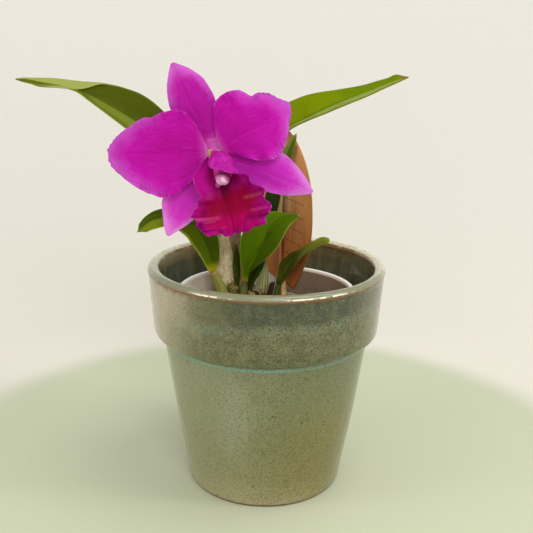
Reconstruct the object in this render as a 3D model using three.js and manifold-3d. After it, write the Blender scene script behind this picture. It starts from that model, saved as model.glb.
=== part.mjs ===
// Cattleya orchid in its pot: a glazed stoneware cover pot, the plastic nursery pot that stands in it,
// the bark that fills it, and the plant with its creeping rhizome, pseudobulbs, leaves and one flower.
// A wooden plant label is stuck in the bark. Millimetres, +Z up, origin at the middle of the pot's base.

import * as THREE from 'three';
import { mergeVertices } from 'three/addons/utils/BufferGeometryUtils.js';
import Module from 'manifold-3d';

const wasm = await Module();
wasm.setup();

// ---------------------------------------------------------------- driving dimensions

const GAP = 0.4; // clearance between pieces that touch

const RIM_RADIUS = 75; // widest point, at the lip's lower outer edge
const RIM_EDGE_HEIGHT = 142.4;
const LIP_TOP = 145.4;
const WALL = 7.6;
const COLLAR_FOOT_RADIUS = 71.8; // the collar narrows to this above its rounded lower edge
const COLLAR_FOOT = 105;
const NECK_RADIUS = 65.8;
const NECK_HEIGHT = 99.8;
const BASE_RADIUS = 50;
const FLOOR_THICKNESS = 8.6;
const POT_FACETS = 44;

const NURSERY_FOOT = FLOOR_THICKNESS + GAP;
const NURSERY_RIM_HEIGHT = 127.5;
const NURSERY_BASE_RADIUS = 40.5;
const NURSERY_TOP_RADIUS = 55.4;
const NURSERY_WALL = 1.3;
const NURSERY_LIP = 1.2; // how far the rim band stands out
const NURSERY_BAND = 6; // height of that band
const NURSERY_FLOOR = 2;
const NURSERY_FACETS = 36;
const DRAIN_HOLES = 6;
const DRAIN_RADIUS = 4;
const DRAIN_CIRCLE = 26;

const BARK_LEVEL = 106.5;
const BARK_CHIPS = 42;
const CHIP_SIZE = [19, 12.5, 7];
const CHIP_SPREAD = 44;
const CHIP_TILT = 0.65; // radians, the most that a chip leans
const CHIP_WEAR = 0.3; // how far its corners shift, as a share of its size
const HOLE_MARGIN = 0.3; // more room than GAP round what stands in the bark

const RHIZOME_RADIUS = 3;
const RHIZOME_HEIGHT = 109.4; // height of its middle line
const BULB_FOOT = 113.4; // pseudobulbs stand just above the rhizome

const FLOWER_CENTRE = [-31, -30, 218.6];
const FLOWER_HEADING = 3.85; // degrees to the right of -Y
const FLOWER_LIFT = 7.5; // degrees above the horizon
const FLOWER_ROLL = 19; // degrees, its top leans to the left

const TEPAL_THICKNESS = 0.8;
const LEAF_THICKNESS = 1.3;

const LABEL_THICKNESS = 2;
const LABEL_TURN = 68; // degrees from +X, right edge nearer the front
const LABEL_MIDDLE = [9.6, 28.5];
const LABEL_FOOT = 124;
const STAKE_WIDTH = 5;
const STAKE_THICKNESS = 2.4;
const STAKE_SPAN = [62, 206];
const STAKE_OFFSET = 2.7; // from the label's middle line, along its width

const MATERIALS = {
  glaze: { color: 0x8c9a7c, roughness: 0.3, metalness: 0 },
  nursery: { color: 0xa39a92, roughness: 0.5, metalness: 0 },
  bark: { color: 0x6b4630, roughness: 0.95, metalness: 0 },
  rhizome: { color: 0x6d7440, roughness: 0.7, metalness: 0 },
  dryBulb: { color: 0xb9aa8c, roughness: 0.85, metalness: 0 },
  greenBulb: { color: 0x7f9150, roughness: 0.6, metalness: 0 },
  leaf: { color: 0x4f7a14, roughness: 0.4, metalness: 0 },
  darkLeaf: { color: 0x24421a, roughness: 0.45, metalness: 0 },
  stem: { color: 0x8a9a4a, roughness: 0.55, metalness: 0 },
  sheath: { color: 0xa89a6a, roughness: 0.8, metalness: 0 },
  petal: { color: 0xb814a6, roughness: 0.5, metalness: 0 },
  lip: { color: 0xa00a58, roughness: 0.5, metalness: 0 },
  column: { color: 0xc86ac0, roughness: 0.45, metalness: 0 },
  anther: { color: 0xf2dff0, roughness: 0.45, metalness: 0 },
  wood: { color: 0xa86f3c, roughness: 0.7, metalness: 0 },
  stake: { color: 0xc49a66, roughness: 0.75, metalness: 0 },
};

// ---------------------------------------------------------------- helpers

const vector = (values) => new THREE.Vector3(...values);
const radians = THREE.MathUtils.degToRad;

// Value at t (0..1) on a smooth curve through evenly spaced numbers.
function along(values, t) {
  const spans = values.length - 1;
  if (spans === 0) return values[0];
  const place = Math.min(Math.max(t, 0), 1) * spans;
  const i = Math.min(Math.floor(place), spans - 1);
  const f = place - i;
  const b = values[i];
  const c = values[i + 1];
  const a = i > 0 ? values[i - 1] : 2 * b - c;
  const d = i + 2 <= spans ? values[i + 2] : 2 * c - b;
  const bend = 2 * a - 5 * b + 4 * c - d;
  const twist = 3 * b - a - 3 * c + d;
  return 0.5 * (2 * b + (c - a) * f + bend * f * f + twist * f ** 3);
}

const listOf = (rows, index) => rows.map((row) => row[index]);

// Point or direction at t on a smooth curve through rows of x, y, z.
function pointAlong(rows, t) {
  return new THREE.Vector3(...[0, 1, 2].map((axis) => along(listOf(rows, axis), t)));
}

function tangentAlong(rows, t) {
  const step = 0.01;
  const ahead = pointAlong(rows, Math.min(t + step, 1));
  return ahead.sub(pointAlong(rows, Math.max(t - step, 0))).normalize();
}

function geometryFrom(points, triangles) {
  const geometry = new THREE.BufferGeometry();
  geometry.setAttribute('position', new THREE.Float32BufferAttribute(points.flat(), 3));
  geometry.setIndex(triangles.flat());
  return geometry;
}

// The same shape with shared vertices merged, slivers dropped and its faces pointing out.
function closed(geometry) {
  geometry.deleteAttribute('normal');
  geometry.deleteAttribute('uv');
  const merged = mergeVertices(geometry, 1e-4);
  const index = merged.index.array;
  const corner = [new THREE.Vector3(), new THREE.Vector3(), new THREE.Vector3()];
  const triangles = [];
  let volume = 0;
  for (let i = 0; i < index.length; i += 3) {
    const ids = [index[i], index[i + 1], index[i + 2]];
    if (new Set(ids).size < 3) continue;
    ids.forEach((id, k) => corner[k].fromBufferAttribute(merged.attributes.position, id));
    volume += corner[0].dot(corner[1].clone().cross(corner[2]));
    triangles.push(ids);
  }
  if (volume < 0) triangles.forEach((ids) => ids.reverse());
  merged.setIndex(triangles.flat());
  return merged;
}

function toSolid(geometry) {
  const clean = closed(geometry);
  return new wasm.Manifold(new wasm.Mesh({
    numProp: 3,
    vertProperties: new Float32Array(clean.attributes.position.array),
    triVerts: new Uint32Array(clean.index.array),
  }));
}

function fromSolid(solid) {
  const mesh = solid.getMesh();
  const geometry = new THREE.BufferGeometry();
  geometry.setAttribute('position', new THREE.BufferAttribute(mesh.vertProperties, 3));
  geometry.setIndex([...mesh.triVerts]);
  return geometry;
}

const joined = (solids) => solids.reduce((sum, solid) => sum.add(solid));

// A turned shape from radius and height pairs, standing on +Z.
function turned(profile, facets) {
  const outline = profile.map(([radius, height]) => new THREE.Vector2(radius, height));
  return closed(new THREE.LatheGeometry(outline, facets).rotateX(Math.PI / 2));
}

// A round stem through stations of x, y, z, radius. grow thickens and lengthens it to cut a clear hole.
function stem({ stations, sides = 10, steps = 12, reference = [0, 1, 0], grow = 0 }) {
  const points = [];
  const triangles = [];
  for (let i = 0; i <= steps; i += 1) {
    const t = i / steps;
    const middle = pointAlong(stations, t);
    const ahead = tangentAlong(stations, t);
    if (i === 0) middle.addScaledVector(ahead, -grow);
    if (i === steps) middle.addScaledVector(ahead, grow);
    const radius = along(listOf(stations, 3), t) + grow;
    const first = vector(reference).addScaledVector(ahead, -vector(reference).dot(ahead)).normalize();
    const second = ahead.clone().cross(first);
    for (let j = 0; j < sides; j += 1) {
      const angle = (2 * Math.PI * j) / sides;
      const point = middle.clone().addScaledVector(first, radius * Math.cos(angle));
      points.push(point.addScaledVector(second, radius * Math.sin(angle)).toArray());
    }
  }
  for (let i = 0; i < steps; i += 1) {
    for (let j = 0; j < sides; j += 1) {
      const a = i * sides + j;
      const b = i * sides + ((j + 1) % sides);
      triangles.push([a, b, b + sides], [a, b + sides, a + sides]);
    }
  }
  const last = steps * sides;
  for (let j = 1; j < sides - 1; j += 1) {
    triangles.push([0, j + 1, j], [last, last + j, last + j + 1]);
  }
  return closed(geometryFrom(points, triangles));
}

// One point of a blade's middle surface, and the direction its face looks there.
function bladePoint(shape, t, u) {
  const { stations, face, wrap = [0], curls = null, fold = [0] } = shape;
  const { flare = [0], frill = null, round = 0 } = shape;
  const place = t - round * u * u * t ** 4;
  const middle = pointAlong(stations, place);
  const ahead = tangentAlong(stations, place);
  const side = ahead.clone().cross(pointAlong(face, place)).normalize();
  const up = side.clone().cross(ahead);
  const left = along(listOf(stations, 3), place);
  const right = along(listOf(stations, 4), place);
  const width = u < 0 ? left : right;
  const bend = curls && along(u < 0 ? curls.left : curls.right, place);
  const curl = curls ? radians(bend) / width : radians(along(wrap, place)) / (left + right);
  const reach = u * width;
  const angle = reach * curl;
  const across = Math.abs(curl) < 1e-5 ? reach : Math.sin(angle) / curl;
  const lift = Math.abs(curl) < 1e-5 ? 0 : (1 - Math.cos(angle)) / curl;
  const rise = lift + Math.abs(across) * Math.tan(radians(along(fold, place)));
  const normal = up.clone().multiplyScalar(Math.cos(angle)).addScaledVector(side, -Math.sin(angle));
  const point = middle.addScaledVector(side, across).addScaledVector(up, rise);
  point.addScaledVector(normal, -along(flare, place) * Math.max(u, 0) ** 3);
  if (frill) {
    const shift = u < 0 ? frill.offset : 0;
    const margin = Math.abs(u) ** 3 * Math.sin(2 * Math.PI * (frill.waves * t + shift));
    const end = (frill.end ?? 0) * t ** 8 * Math.sin(3 * Math.PI * u);
    point.addScaledVector(normal, along(frill.height, place) * margin + end);
  }
  return { point, normal };
}

// A thin closed sheet. Stations are x, y, z of its middle line with the half width to the left and right.
// face is where its upper side looks, wrap the degrees it curls from edge to edge, or curls the degrees
// from its middle line to each edge, fold its keel, and flare how far its right edge turns out.
function blade(shape) {
  const { thickness = LEAF_THICKNESS, steps = 14, across = 6, edge = 0.62 } = shape;
  const front = [];
  const back = [];
  for (let i = 0; i <= steps; i += 1) {
    for (let j = 0; j <= across; j += 1) {
      const u = (2 * j) / across - 1;
      const { point, normal } = bladePoint(shape, i / steps, u);
      const half = (thickness + (edge - thickness) * u * u) / 2;
      front.push(point.clone().addScaledVector(normal, half).toArray());
      back.push(point.clone().addScaledVector(normal, -half).toArray());
    }
  }
  const count = front.length;
  const row = across + 1;
  const triangles = [];
  const band = (a, b) => triangles.push([a, b, b + count], [a, b + count, a + count]);
  for (let i = 0; i < steps; i += 1) {
    for (let j = 0; j < across; j += 1) {
      const a = i * row + j;
      const b = a + 1;
      const c = b + row;
      const d = a + row;
      triangles.push([a, b, c], [a, c, d]);
      triangles.push([a + count, c + count, b + count], [a + count, d + count, c + count]);
    }
    band(i * row, (i + 1) * row);
    band((i + 1) * row + across, i * row + across);
  }
  for (let j = 0; j < across; j += 1) {
    band(j + 1, j);
    band(steps * row + j, steps * row + j + 1);
  }
  return geometryFrom([...front, ...back], triangles);
}

// Repeatable numbers from 0 to 1.
function seededNumbers(seed) {
  let state = seed;
  return () => {
    state = (state * 1664525 + 1013904223) % 4294967296;
    return state / 4294967296;
  };
}

const object = new THREE.Group();

function add(name, geometry, material, parent = object) {
  const mesh = new THREE.Mesh(geometry, new THREE.MeshStandardMaterial(MATERIALS[material]));
  mesh.name = name;
  parent.add(mesh);
  return mesh;
}

// ---------------------------------------------------------------- pots

function ceramicPot() {
  const neckInside = NECK_RADIUS - WALL;
  const insideTop = RIM_RADIUS - WALL;
  const outside = [
    [0, 0],
    [BASE_RADIUS - 0.8, 0],
    [BASE_RADIUS + 0.3, 2.2],
    [(BASE_RADIUS + NECK_RADIUS) / 2 + 0.3, NECK_HEIGHT / 2],
    [NECK_RADIUS - 0.5, NECK_HEIGHT - 4],
    [NECK_RADIUS, NECK_HEIGHT],
    [COLLAR_FOOT_RADIUS - 2.6, NECK_HEIGHT + 1.5],
    [COLLAR_FOOT_RADIUS - 0.6, NECK_HEIGHT + 3.6],
    [COLLAR_FOOT_RADIUS, COLLAR_FOOT + 2],
    [RIM_RADIUS - 0.7, RIM_EDGE_HEIGHT - 3.4],
    [RIM_RADIUS, RIM_EDGE_HEIGHT],
  ];
  const lip = [
    [RIM_RADIUS - 0.9, LIP_TOP - 0.9],
    [RIM_RADIUS - 2.6, LIP_TOP],
    [RIM_RADIUS - 4.4, LIP_TOP - 0.1],
    [insideTop + 0.6, LIP_TOP - 1.1],
    [insideTop, LIP_TOP - 2.8],
  ];
  const inside = [
    [insideTop - 1.4, RIM_EDGE_HEIGHT - 12],
    [neckInside + 1.2, NECK_HEIGHT],
    [BASE_RADIUS - WALL + 1.4, FLOOR_THICKNESS + 3],
    [BASE_RADIUS - WALL - 1.4, FLOOR_THICKNESS],
    [0, FLOOR_THICKNESS],
  ];
  return turned([...outside, ...lip, ...inside], POT_FACETS);
}

// Outer radius of the nursery pot's wall at a height.
function nurseryRadius(height) {
  const share = (height - NURSERY_FOOT) / (NURSERY_RIM_HEIGHT - NURSERY_FOOT);
  return NURSERY_BASE_RADIUS + (NURSERY_TOP_RADIUS - NURSERY_BASE_RADIUS) * share;
}

function nurseryPot() {
  const bandFoot = NURSERY_RIM_HEIGHT - NURSERY_BAND;
  const floor = NURSERY_FOOT + NURSERY_FLOOR;
  const shell = turned([
    [0, NURSERY_FOOT],
    [NURSERY_BASE_RADIUS, NURSERY_FOOT],
    [nurseryRadius(bandFoot), bandFoot],
    [nurseryRadius(bandFoot) + NURSERY_LIP, bandFoot],
    [NURSERY_TOP_RADIUS + NURSERY_LIP, NURSERY_RIM_HEIGHT],
    [NURSERY_TOP_RADIUS - NURSERY_WALL, NURSERY_RIM_HEIGHT],
    [nurseryRadius(floor) - NURSERY_WALL, floor],
    [0, floor],
  ], NURSERY_FACETS);
  let solid = toSolid(shell);
  for (let i = 0; i < DRAIN_HOLES; i += 1) {
    const angle = (2 * Math.PI * (i + 0.5)) / DRAIN_HOLES;
    const drill = new THREE.CylinderGeometry(DRAIN_RADIUS, DRAIN_RADIUS, 12, 12).rotateX(Math.PI / 2);
    drill.translate(DRAIN_CIRCLE * Math.cos(angle), DRAIN_CIRCLE * Math.sin(angle), NURSERY_FOOT);
    solid = solid.subtract(toSolid(drill));
  }
  return fromSolid(solid);
}

// ---------------------------------------------------------------- what stands in the bark

const BULBS = {
  pseudobulb_1: {
    // the oldest, in dry papery skin; it carries the flower and the long leaf to the left
    stations: [[-21.6, 10, BULB_FOOT, 4.9], [-22.6, 9.6, 126, 5.7], [-24.2, 9, 138, 6], [-26, 8.4, 151, 6],
      [-28.6, 7.6, 167, 5.5], [-31.2, 7, 182.4, 4]],
    material: 'dryBulb',
  },
  pseudobulb_2: {
    stations: [[-19.9, 20, BULB_FOOT, 3.4], [-19.9, 20.3, 127, 4.2], [-20.6, 21, 142, 4.3],
      [-21.4, 22, 160, 4], [-22.2, 22.8, 178, 3.2]],
    material: 'dryBulb',
  },
  pseudobulb_3: {
    stations: [[-2.9, 22, BULB_FOOT, 3.9], [-2.9, 22, 119, 4.5], [-2.5, 22, 124, 4.2],
      [-1.8, 22, 129, 3.2], [-1, 22, 134, 2], [-0.8, 22, 139.2, 1.1]],
    material: 'greenBulb',
  },
  pseudobulb_4: {
    stations: [[-25.2, -7, BULB_FOOT + 0.3, 3.2], [-26.2, -7, 121, 3.7], [-29.2, -7.2, 130, 3.4],
      [-33.4, -8, 139, 2.5]],
    material: 'greenBulb',
  },
  pseudobulb_5: {
    stations: [[-15, -2, BULB_FOOT, 2.4], [-15, -2, 119, 2.8], [-14.7, -2, 125, 2.7], [-14.2, -2, 131, 2.1]],
    material: 'greenBulb',
  },
  new_shoot: {
    stations: [[7, 12, BULB_FOOT, 2.1], [7.2, 12, 117, 2.5], [7.5, 12, 121, 2.4], [7.8, 12, 124.9, 2]],
    material: 'greenBulb',
  },
};

const onRhizome = ([x, y]) => [x, y, RHIZOME_HEIGHT, RHIZOME_RADIUS];

const RHIZOME_RUNS = [
  [[-36, 17, RHIZOME_HEIGHT - 1, 2.4], ...[[-28, 13], [-21.6, 10], [-12, 8.5], [-3, 10],
  [7.2, 12]].map(onRhizome)],
  [[-21.6, 10], [-20.5, 15], [-19.9, 20], [-12, 22.5], [-3, 22]].map(onRhizome),
  [[-20, 9.5], [-22, 2], [-24, -3], [-25.4, -7]].map(onRhizome),
  [[-15, 8], [-15.5, 3], [-15, -2.4]].map(onRhizome),
  [[-12, 9], [-12.6, 11.5], [-13, 14.4]].map(onRhizome),
];

// an old growth cut back to a mossy stub
const STUB = [[-21.2, -1.5, RHIZOME_HEIGHT, 2.6], [-21.2, -1.5, 116, 2.9], [-21.4, -1.3, 123, 2.9],
  [-21.8, -1.1, 127.4, 2]];

const ROOTS = [
  [[-30, 13, 110, 1.3], [-38, 9, 114, 1.3], [-44, 1, 113.6, 1.2], [-46, -9, 110, 1.1], [-46, -15, 101, 0.9]],
  [[-24, -6, 110, 1.3], [-23, -15, 114, 1.3], [-16, -24, 114, 1.2], [-6, -30, 111, 1.1], [0, -33, 102, 0.9]],
  [[5, 12, 110, 1.3], [14, 5, 114, 1.3], [23, -2, 114, 1.2], [31, -10, 111.5, 1.1], [35, -17, 102, 0.9]],
  [[-6, 22, 110, 1.3], [4, 30, 113.6, 1.3], [15, 33, 113.2, 1.2], [26, 31, 110, 1.1], [33, 27, 101, 0.9]],
];

function rhizome(grow) {
  const runs = RHIZOME_RUNS.map((stations) => stem({ stations, sides: 7, steps: 5, reference: [0, 0, 1],
    grow }));
  const stub = stem({ stations: STUB, sides: 8, steps: 4, grow });
  const roots = ROOTS.map((stations) => stem({ stations, sides: 5, steps: 7, reference: [0, 0, 1], grow }));
  return joined([...runs, stub, ...roots].map(toSolid));
}

// ---------------------------------------------------------------- label and stake

const LABEL_DIRECTION = new THREE.Vector2(Math.cos(radians(LABEL_TURN)), -Math.sin(radians(LABEL_TURN)));

// Half of the board's outline, from its flat foot to the blunt point: half width and height.
const LABEL_HALF = [[21.8, 0], [33, 14], [42.6, 29], [46.4, 43], [46.4, 57], [43.6, 70], [37.4, 81],
  [28, 90.5],
  [15, 98.5]];
const LABEL_HEIGHT = 102.2;

// Places a piece drawn flat, X along the label's width and Y up, standing at the label.
function standAtLabel(geometry, sideways, forward) {
  geometry.rotateX(Math.PI / 2);
  geometry.translate(sideways, -forward, 0);
  geometry.rotateZ(-radians(LABEL_TURN));
  return geometry.translate(LABEL_MIDDLE[0], LABEL_MIDDLE[1], 0);
}

function labelBoard() {
  const right = LABEL_HALF.map(([half, height]) => new THREE.Vector2(half, height));
  const left = LABEL_HALF.map(([half, height]) => new THREE.Vector2(-half, height)).reverse();
  const outline = [...right, new THREE.Vector2(0, LABEL_HEIGHT), ...left];
  const board = new THREE.ExtrudeGeometry(new THREE.Shape(outline), { depth: LABEL_THICKNESS,
    bevelEnabled: false });
  board.translate(0, LABEL_FOOT, -LABEL_THICKNESS / 2);
  return closed(standAtLabel(board, 0, 0));
}

function stakeBox(grow) {
  const [foot, top] = STAKE_SPAN;
  const box = new THREE.BoxGeometry(STAKE_WIDTH + 2 * grow, top - foot + 2 * grow,
    STAKE_THICKNESS + 2 * grow);
  box.translate(0, (foot + top) / 2, 0);
  const forward = (LABEL_THICKNESS + STAKE_THICKNESS) / 2 + GAP;
  return closed(standAtLabel(box, STAKE_OFFSET, forward));
}

// ---------------------------------------------------------------- bark

function barkChip(random, index) {
  const stretch = 0.75 + 0.5 * random();
  const chip = new THREE.BoxGeometry(CHIP_SIZE[0] * stretch, CHIP_SIZE[1] * (0.8 + 0.4 * random()),
    CHIP_SIZE[2]);
  const corners = new Map();
  const position = chip.attributes.position;
  for (let i = 0; i < position.count; i += 1) {
    const key = [position.getX(i), position.getY(i), position.getZ(i)].map(Math.sign).join();
    const offset = () => CHIP_SIZE.map((size) => (random() - 0.5) * CHIP_WEAR * size);
    if (!corners.has(key)) corners.set(key, offset());
    const shift = corners.get(key);
    position.setXYZ(i, position.getX(i) + shift[0], position.getY(i) + shift[1], position.getZ(i) + shift[2]);
  }
  const reach = CHIP_SPREAD * Math.sqrt((index + 0.5) / BARK_CHIPS);
  const angle = index * Math.PI * (3 - Math.sqrt(5));
  const lean = () => (random() - 0.5) * CHIP_TILT;
  chip.rotateX(lean()).rotateY(lean()).rotateZ(random() * Math.PI);
  return chip.translate(reach * Math.cos(angle), reach * Math.sin(angle), BARK_LEVEL + 0.6 + 2.4 * random());
}

function barkMix() {
  const random = seededNumbers(7);
  const inside = (height) => nurseryRadius(height) - NURSERY_WALL - GAP;
  const foot = NURSERY_FOOT + NURSERY_FLOOR + GAP;
  const crown = NURSERY_RIM_HEIGHT - NURSERY_BAND;
  const room = turned([[0, foot], [inside(foot), foot], [inside(crown), crown], [0, crown]], NURSERY_FACETS);
  const fillTop = BARK_LEVEL;
  const fill = turned([[0, foot], [inside(foot), foot], [inside(fillTop), fillTop],
    [0, fillTop]], NURSERY_FACETS);
  const chips = Array.from({ length: BARK_CHIPS }, (_, index) => toSolid(barkChip(random, index)));
  let mix = toSolid(fill).add(joined(chips).intersect(toSolid(room)));
  mix = mix.subtract(rhizome(GAP + HOLE_MARGIN));
  for (const { stations } of Object.values(BULBS)) {
    mix = mix.subtract(toSolid(stem({ stations, sides: 8, steps: 3, grow: GAP + HOLE_MARGIN })));
  }
  for (const name of ['leaf_small_back', 'leaf_slim']) {
    const { stations } = LEAVES[name];
    const hole = [stations[0], stations[1]].map(([x, y, z, left]) => [x, y, z, left + 0.4]);
    mix = mix.subtract(toSolid(stem({ stations: hole, sides: 8, steps: 1, grow: GAP })));
  }
  mix = mix.subtract(toSolid(stakeBox(GAP)));
  const largest = mix.decompose().sort((a, b) => b.volume() - a.volume())[0];
  return fromSolid(largest);
}

// ---------------------------------------------------------------- leaves

const LEAVES = {
  leaf_long_left: {
    stations: [[-33.9, 8.3, 184.3, 2.6, 2.6], [-40.6, 9, 195.8, 6, 6], [-51.2, 9.6, 208.5, 9.5, 10],
      [-67.2, 10.4, 220.3, 10.7, 14.4], [-83.1, 11, 231.4, 10.2, 17.8], [-96.5, 12, 239, 8.6, 17.3],
      [-108, 12, 245.3, 7, 11.1], [-117.3, 11, 249.7, 3.8, 5.6], [-128.4, 9.5, 252.3, 2.2, 3.3],
      [-140.1, 8, 254, 3.7, 1.9], [-153.3, 7, 255.6, 0.8, 0.8]],
    face: [[-0.6, -0.5, 0.6], [-0.5, -0.5, 0.7], [-0.2, -0.5, 0.8], [0, -0.5, 0.87], [0, -0.5, 0.87],
      [0, -0.5, 0.87]],
    fold: [20, 16, 14, 12, 10, 10],
    steps: 18,
  },
  leaf_long_right: {
    stations: [[-22.3, 22.9, 179.6, 2.3, 2.3], [-17.8, 21.6, 192.7, 5.5, 5],
      [-10.1, 19.2, 205.4, 9.5, 6.4], [-0.1, 16.4, 217.3, 11.4, 5.6], [12.2, 14, 227.3, 13.4, 3.6],
      [23.3, 13, 233.4, 14.2, 4], [34.8, 12, 239.3, 13.2, 5.8], [46.8, 11, 244.8, 10.9, 7],
      [59.3, 10, 249.8, 8.2, 6.3], [72.4, 9, 255.1, 6.5, 3.4], [84.9, 8, 259.7, 1.4, 0.9]],
    face: [[0.7, -0.5, 0.3], [0.5, -0.5, 0.6], [-0.1, -0.62, 0.8], [-0.2, -0.5, 0.86],
      [-0.3, -0.45, 0.88]],
    fold: [24, 26, 24, 14, 10, 6],
    steps: 18,
  },
  leaf_upright: {
    stations: [[-1.4, 22, 140.6, 1.3, 1.7], [-0.9, 21.5, 156.5, 2.3, 4.7], [1.1, 20, 173.6, 3.7, 7.2],
      [4.1, 17.6, 190.4, 4.1, 6.8], [8.2, 13.6, 205.8, 2.8, 6.8], [12.6, 9, 216.5, 1.6, 5.3],
      [17.4, 3.5, 225.4, 0.9, 1.1]],
    face: [[-0.5, -0.85, 0], [-0.45, -0.85, 0.1], [-0.35, -0.9, 0.2], [-0.25, -0.9, 0.35]],
    fold: [24, 20, 16, 14],
    steps: 12,
  },
  leaf_arching: {
    stations: [[-34, -8, 140.5, 3, 2.3], [-35.7, -8, 150.4, 6.5, 6.3], [-39, -8, 160, 9.2, 9.1],
      [-44.1, -8.4, 168.2, 11.6, 9], [-51.4, -9, 173.6, 13.3, 8.7], [-61.3, -10, 175.3, 10.2, 6.7],
      [-70.9, -12, 173.1, 8.3, 5.6], [-79.4, -15, 166.6, 3.6, 2.6]],
    face: [[0.5, -0.85, 0.2], [0.5, -0.8, 0.3], [0.3, -0.6, 0.75], [0.1, -0.45, 0.88],
      [-0.1, -0.55, 0.8], [-0.35, -0.65, 0.65]],
    fold: [24, 16, 10, 8, 8, 10],
    round: 0.03,
    steps: 13,
  },
  leaf_broad_front: {
    stations: [[-14, -2, 132.2, 1.7, 1.6], [-12.7, -3, 140.2, 3.9, 3], [-8.9, -5, 148, 8.3, 5.2],
      [-4.2, -7, 156.3, 12.7, 8.6], [1.4, -8, 164.3, 14.2, 10], [8, -8.6, 171.2, 9.4, 7.6],
      [14.3, -8.8, 175.2, 3.1, 3.8], [20, -8.6, 177.4, 0.8, 0.8]],
    face: [[0.2, -0.95, 0.2], [0.1, -0.93, 0.3], [-0.1, -0.9, 0.4], [-0.2, -0.85, 0.5],
      [-0.2, -0.8, 0.6]],
    fold: [30, 26, 20, 12],
    steps: 12,
  },
  leaf_small_back: {
    stations: [[-12.6, 14.2, BULB_FOOT, 1.8, 1.8], [-11, 14.2, 122.2, 2.6, 1.9],
      [-9.4, 14.2, 127.5, 3.6, 1.8], [-7.2, 14.2, 133, 5, 2.4], [-4.8, 14.4, 139, 4.9, 2.8],
      [-2.5, 14.8, 144.7, 3.8, 2.1], [-0.6, 15, 149.4, 2, 0.8]],
    face: [[0.2, -0.95, 0.2], [0.4, -0.85, 0.3], [0.4, -0.8, 0.4]],
    fold: [26, 22, 14],
    steps: 10,
    across: 4,
  },
  leaf_slim: {
    stations: [[-18.8, 3.4, BULB_FOOT + 0.8, 1.6, 1.6], [-19.2, 3.4, 123.5, 1.7, 1.7],
      [-19.1, 3.2, 132.3, 2, 2], [-19.2, 3.2, 141, 2.5, 2.5], [-19.2, 3.2, 148.9, 2.3, 2],
      [-19.5, 3.6, 155.4, 0.8, 0.8]],
    face: [[0.3, -0.95, 0], [0.3, -0.95, 0.1], [0.3, -0.9, 0.2]],
    fold: [20, 16, 12],
    steps: 8,
    across: 4,
  },
  leaf_small_right: {
    stations: [[7.9, 12, 126.2, 1.7, 1.7], [11, 10, 133.9, 2.5, 3.9], [14, 5.5, 140.4, 4.7, 4.7],
      [17.1, -1.5, 146.7, 4.7, 6], [20.4, -10.5, 152.7, 3.1, 4.7], [24.1, -18, 157.7, 2.4, 3],
      [28.4, -21.5, 161.3, 2.4, 2.5], [33, -23.5, 163.6, 3.4, 1.9], [37.7, -25, 164.9, 2.2, 1.8]],
    face: [[-0.5, -0.85, 0.1], [-0.45, -0.85, 0.3], [-0.3, -0.8, 0.5], [-0.2, -0.75, 0.6],
      [-0.2, -0.7, 0.65]],
    fold: [28, 24, 20, 16, 12],
    round: 0.02,
    steps: 13,
    across: 4,
  },
};

const DARK_LEAVES = ['leaf_small_back', 'leaf_slim', 'leaf_small_right'];

// ---------------------------------------------------------------- flower

const FLOWER_STEM = [[-29.3, 4.2, 184, 1.8], [-29, 3.8, 193, 1.6], [-29.6, 2.6, 202, 1.6],
  [-30.8, -1.4, 209.6, 1.7],
  [-31.5, -8, 213.4, 1.9], [-31.8, -15.6, 215.9, 2.3], [-31.6, -22.9, 217.6, 2.5], [-31.05, -29.3, 218.5, 3]];

const FLOWER_SHEATH = {
  stations: [[-29.3, 6.9, 184.2, 6.2, 6.2], [-29.1, 6.6, 191, 6.6, 6.6], [-29.3, 6, 197, 5, 5],
    [-29.9, 5, 203, 0.9, 0.9]],
  face: [[0, -1, 0]],
  wrap: [270, 250, 190, 60],
  thickness: 0.7,
  steps: 7,
  across: 6,
};

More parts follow.
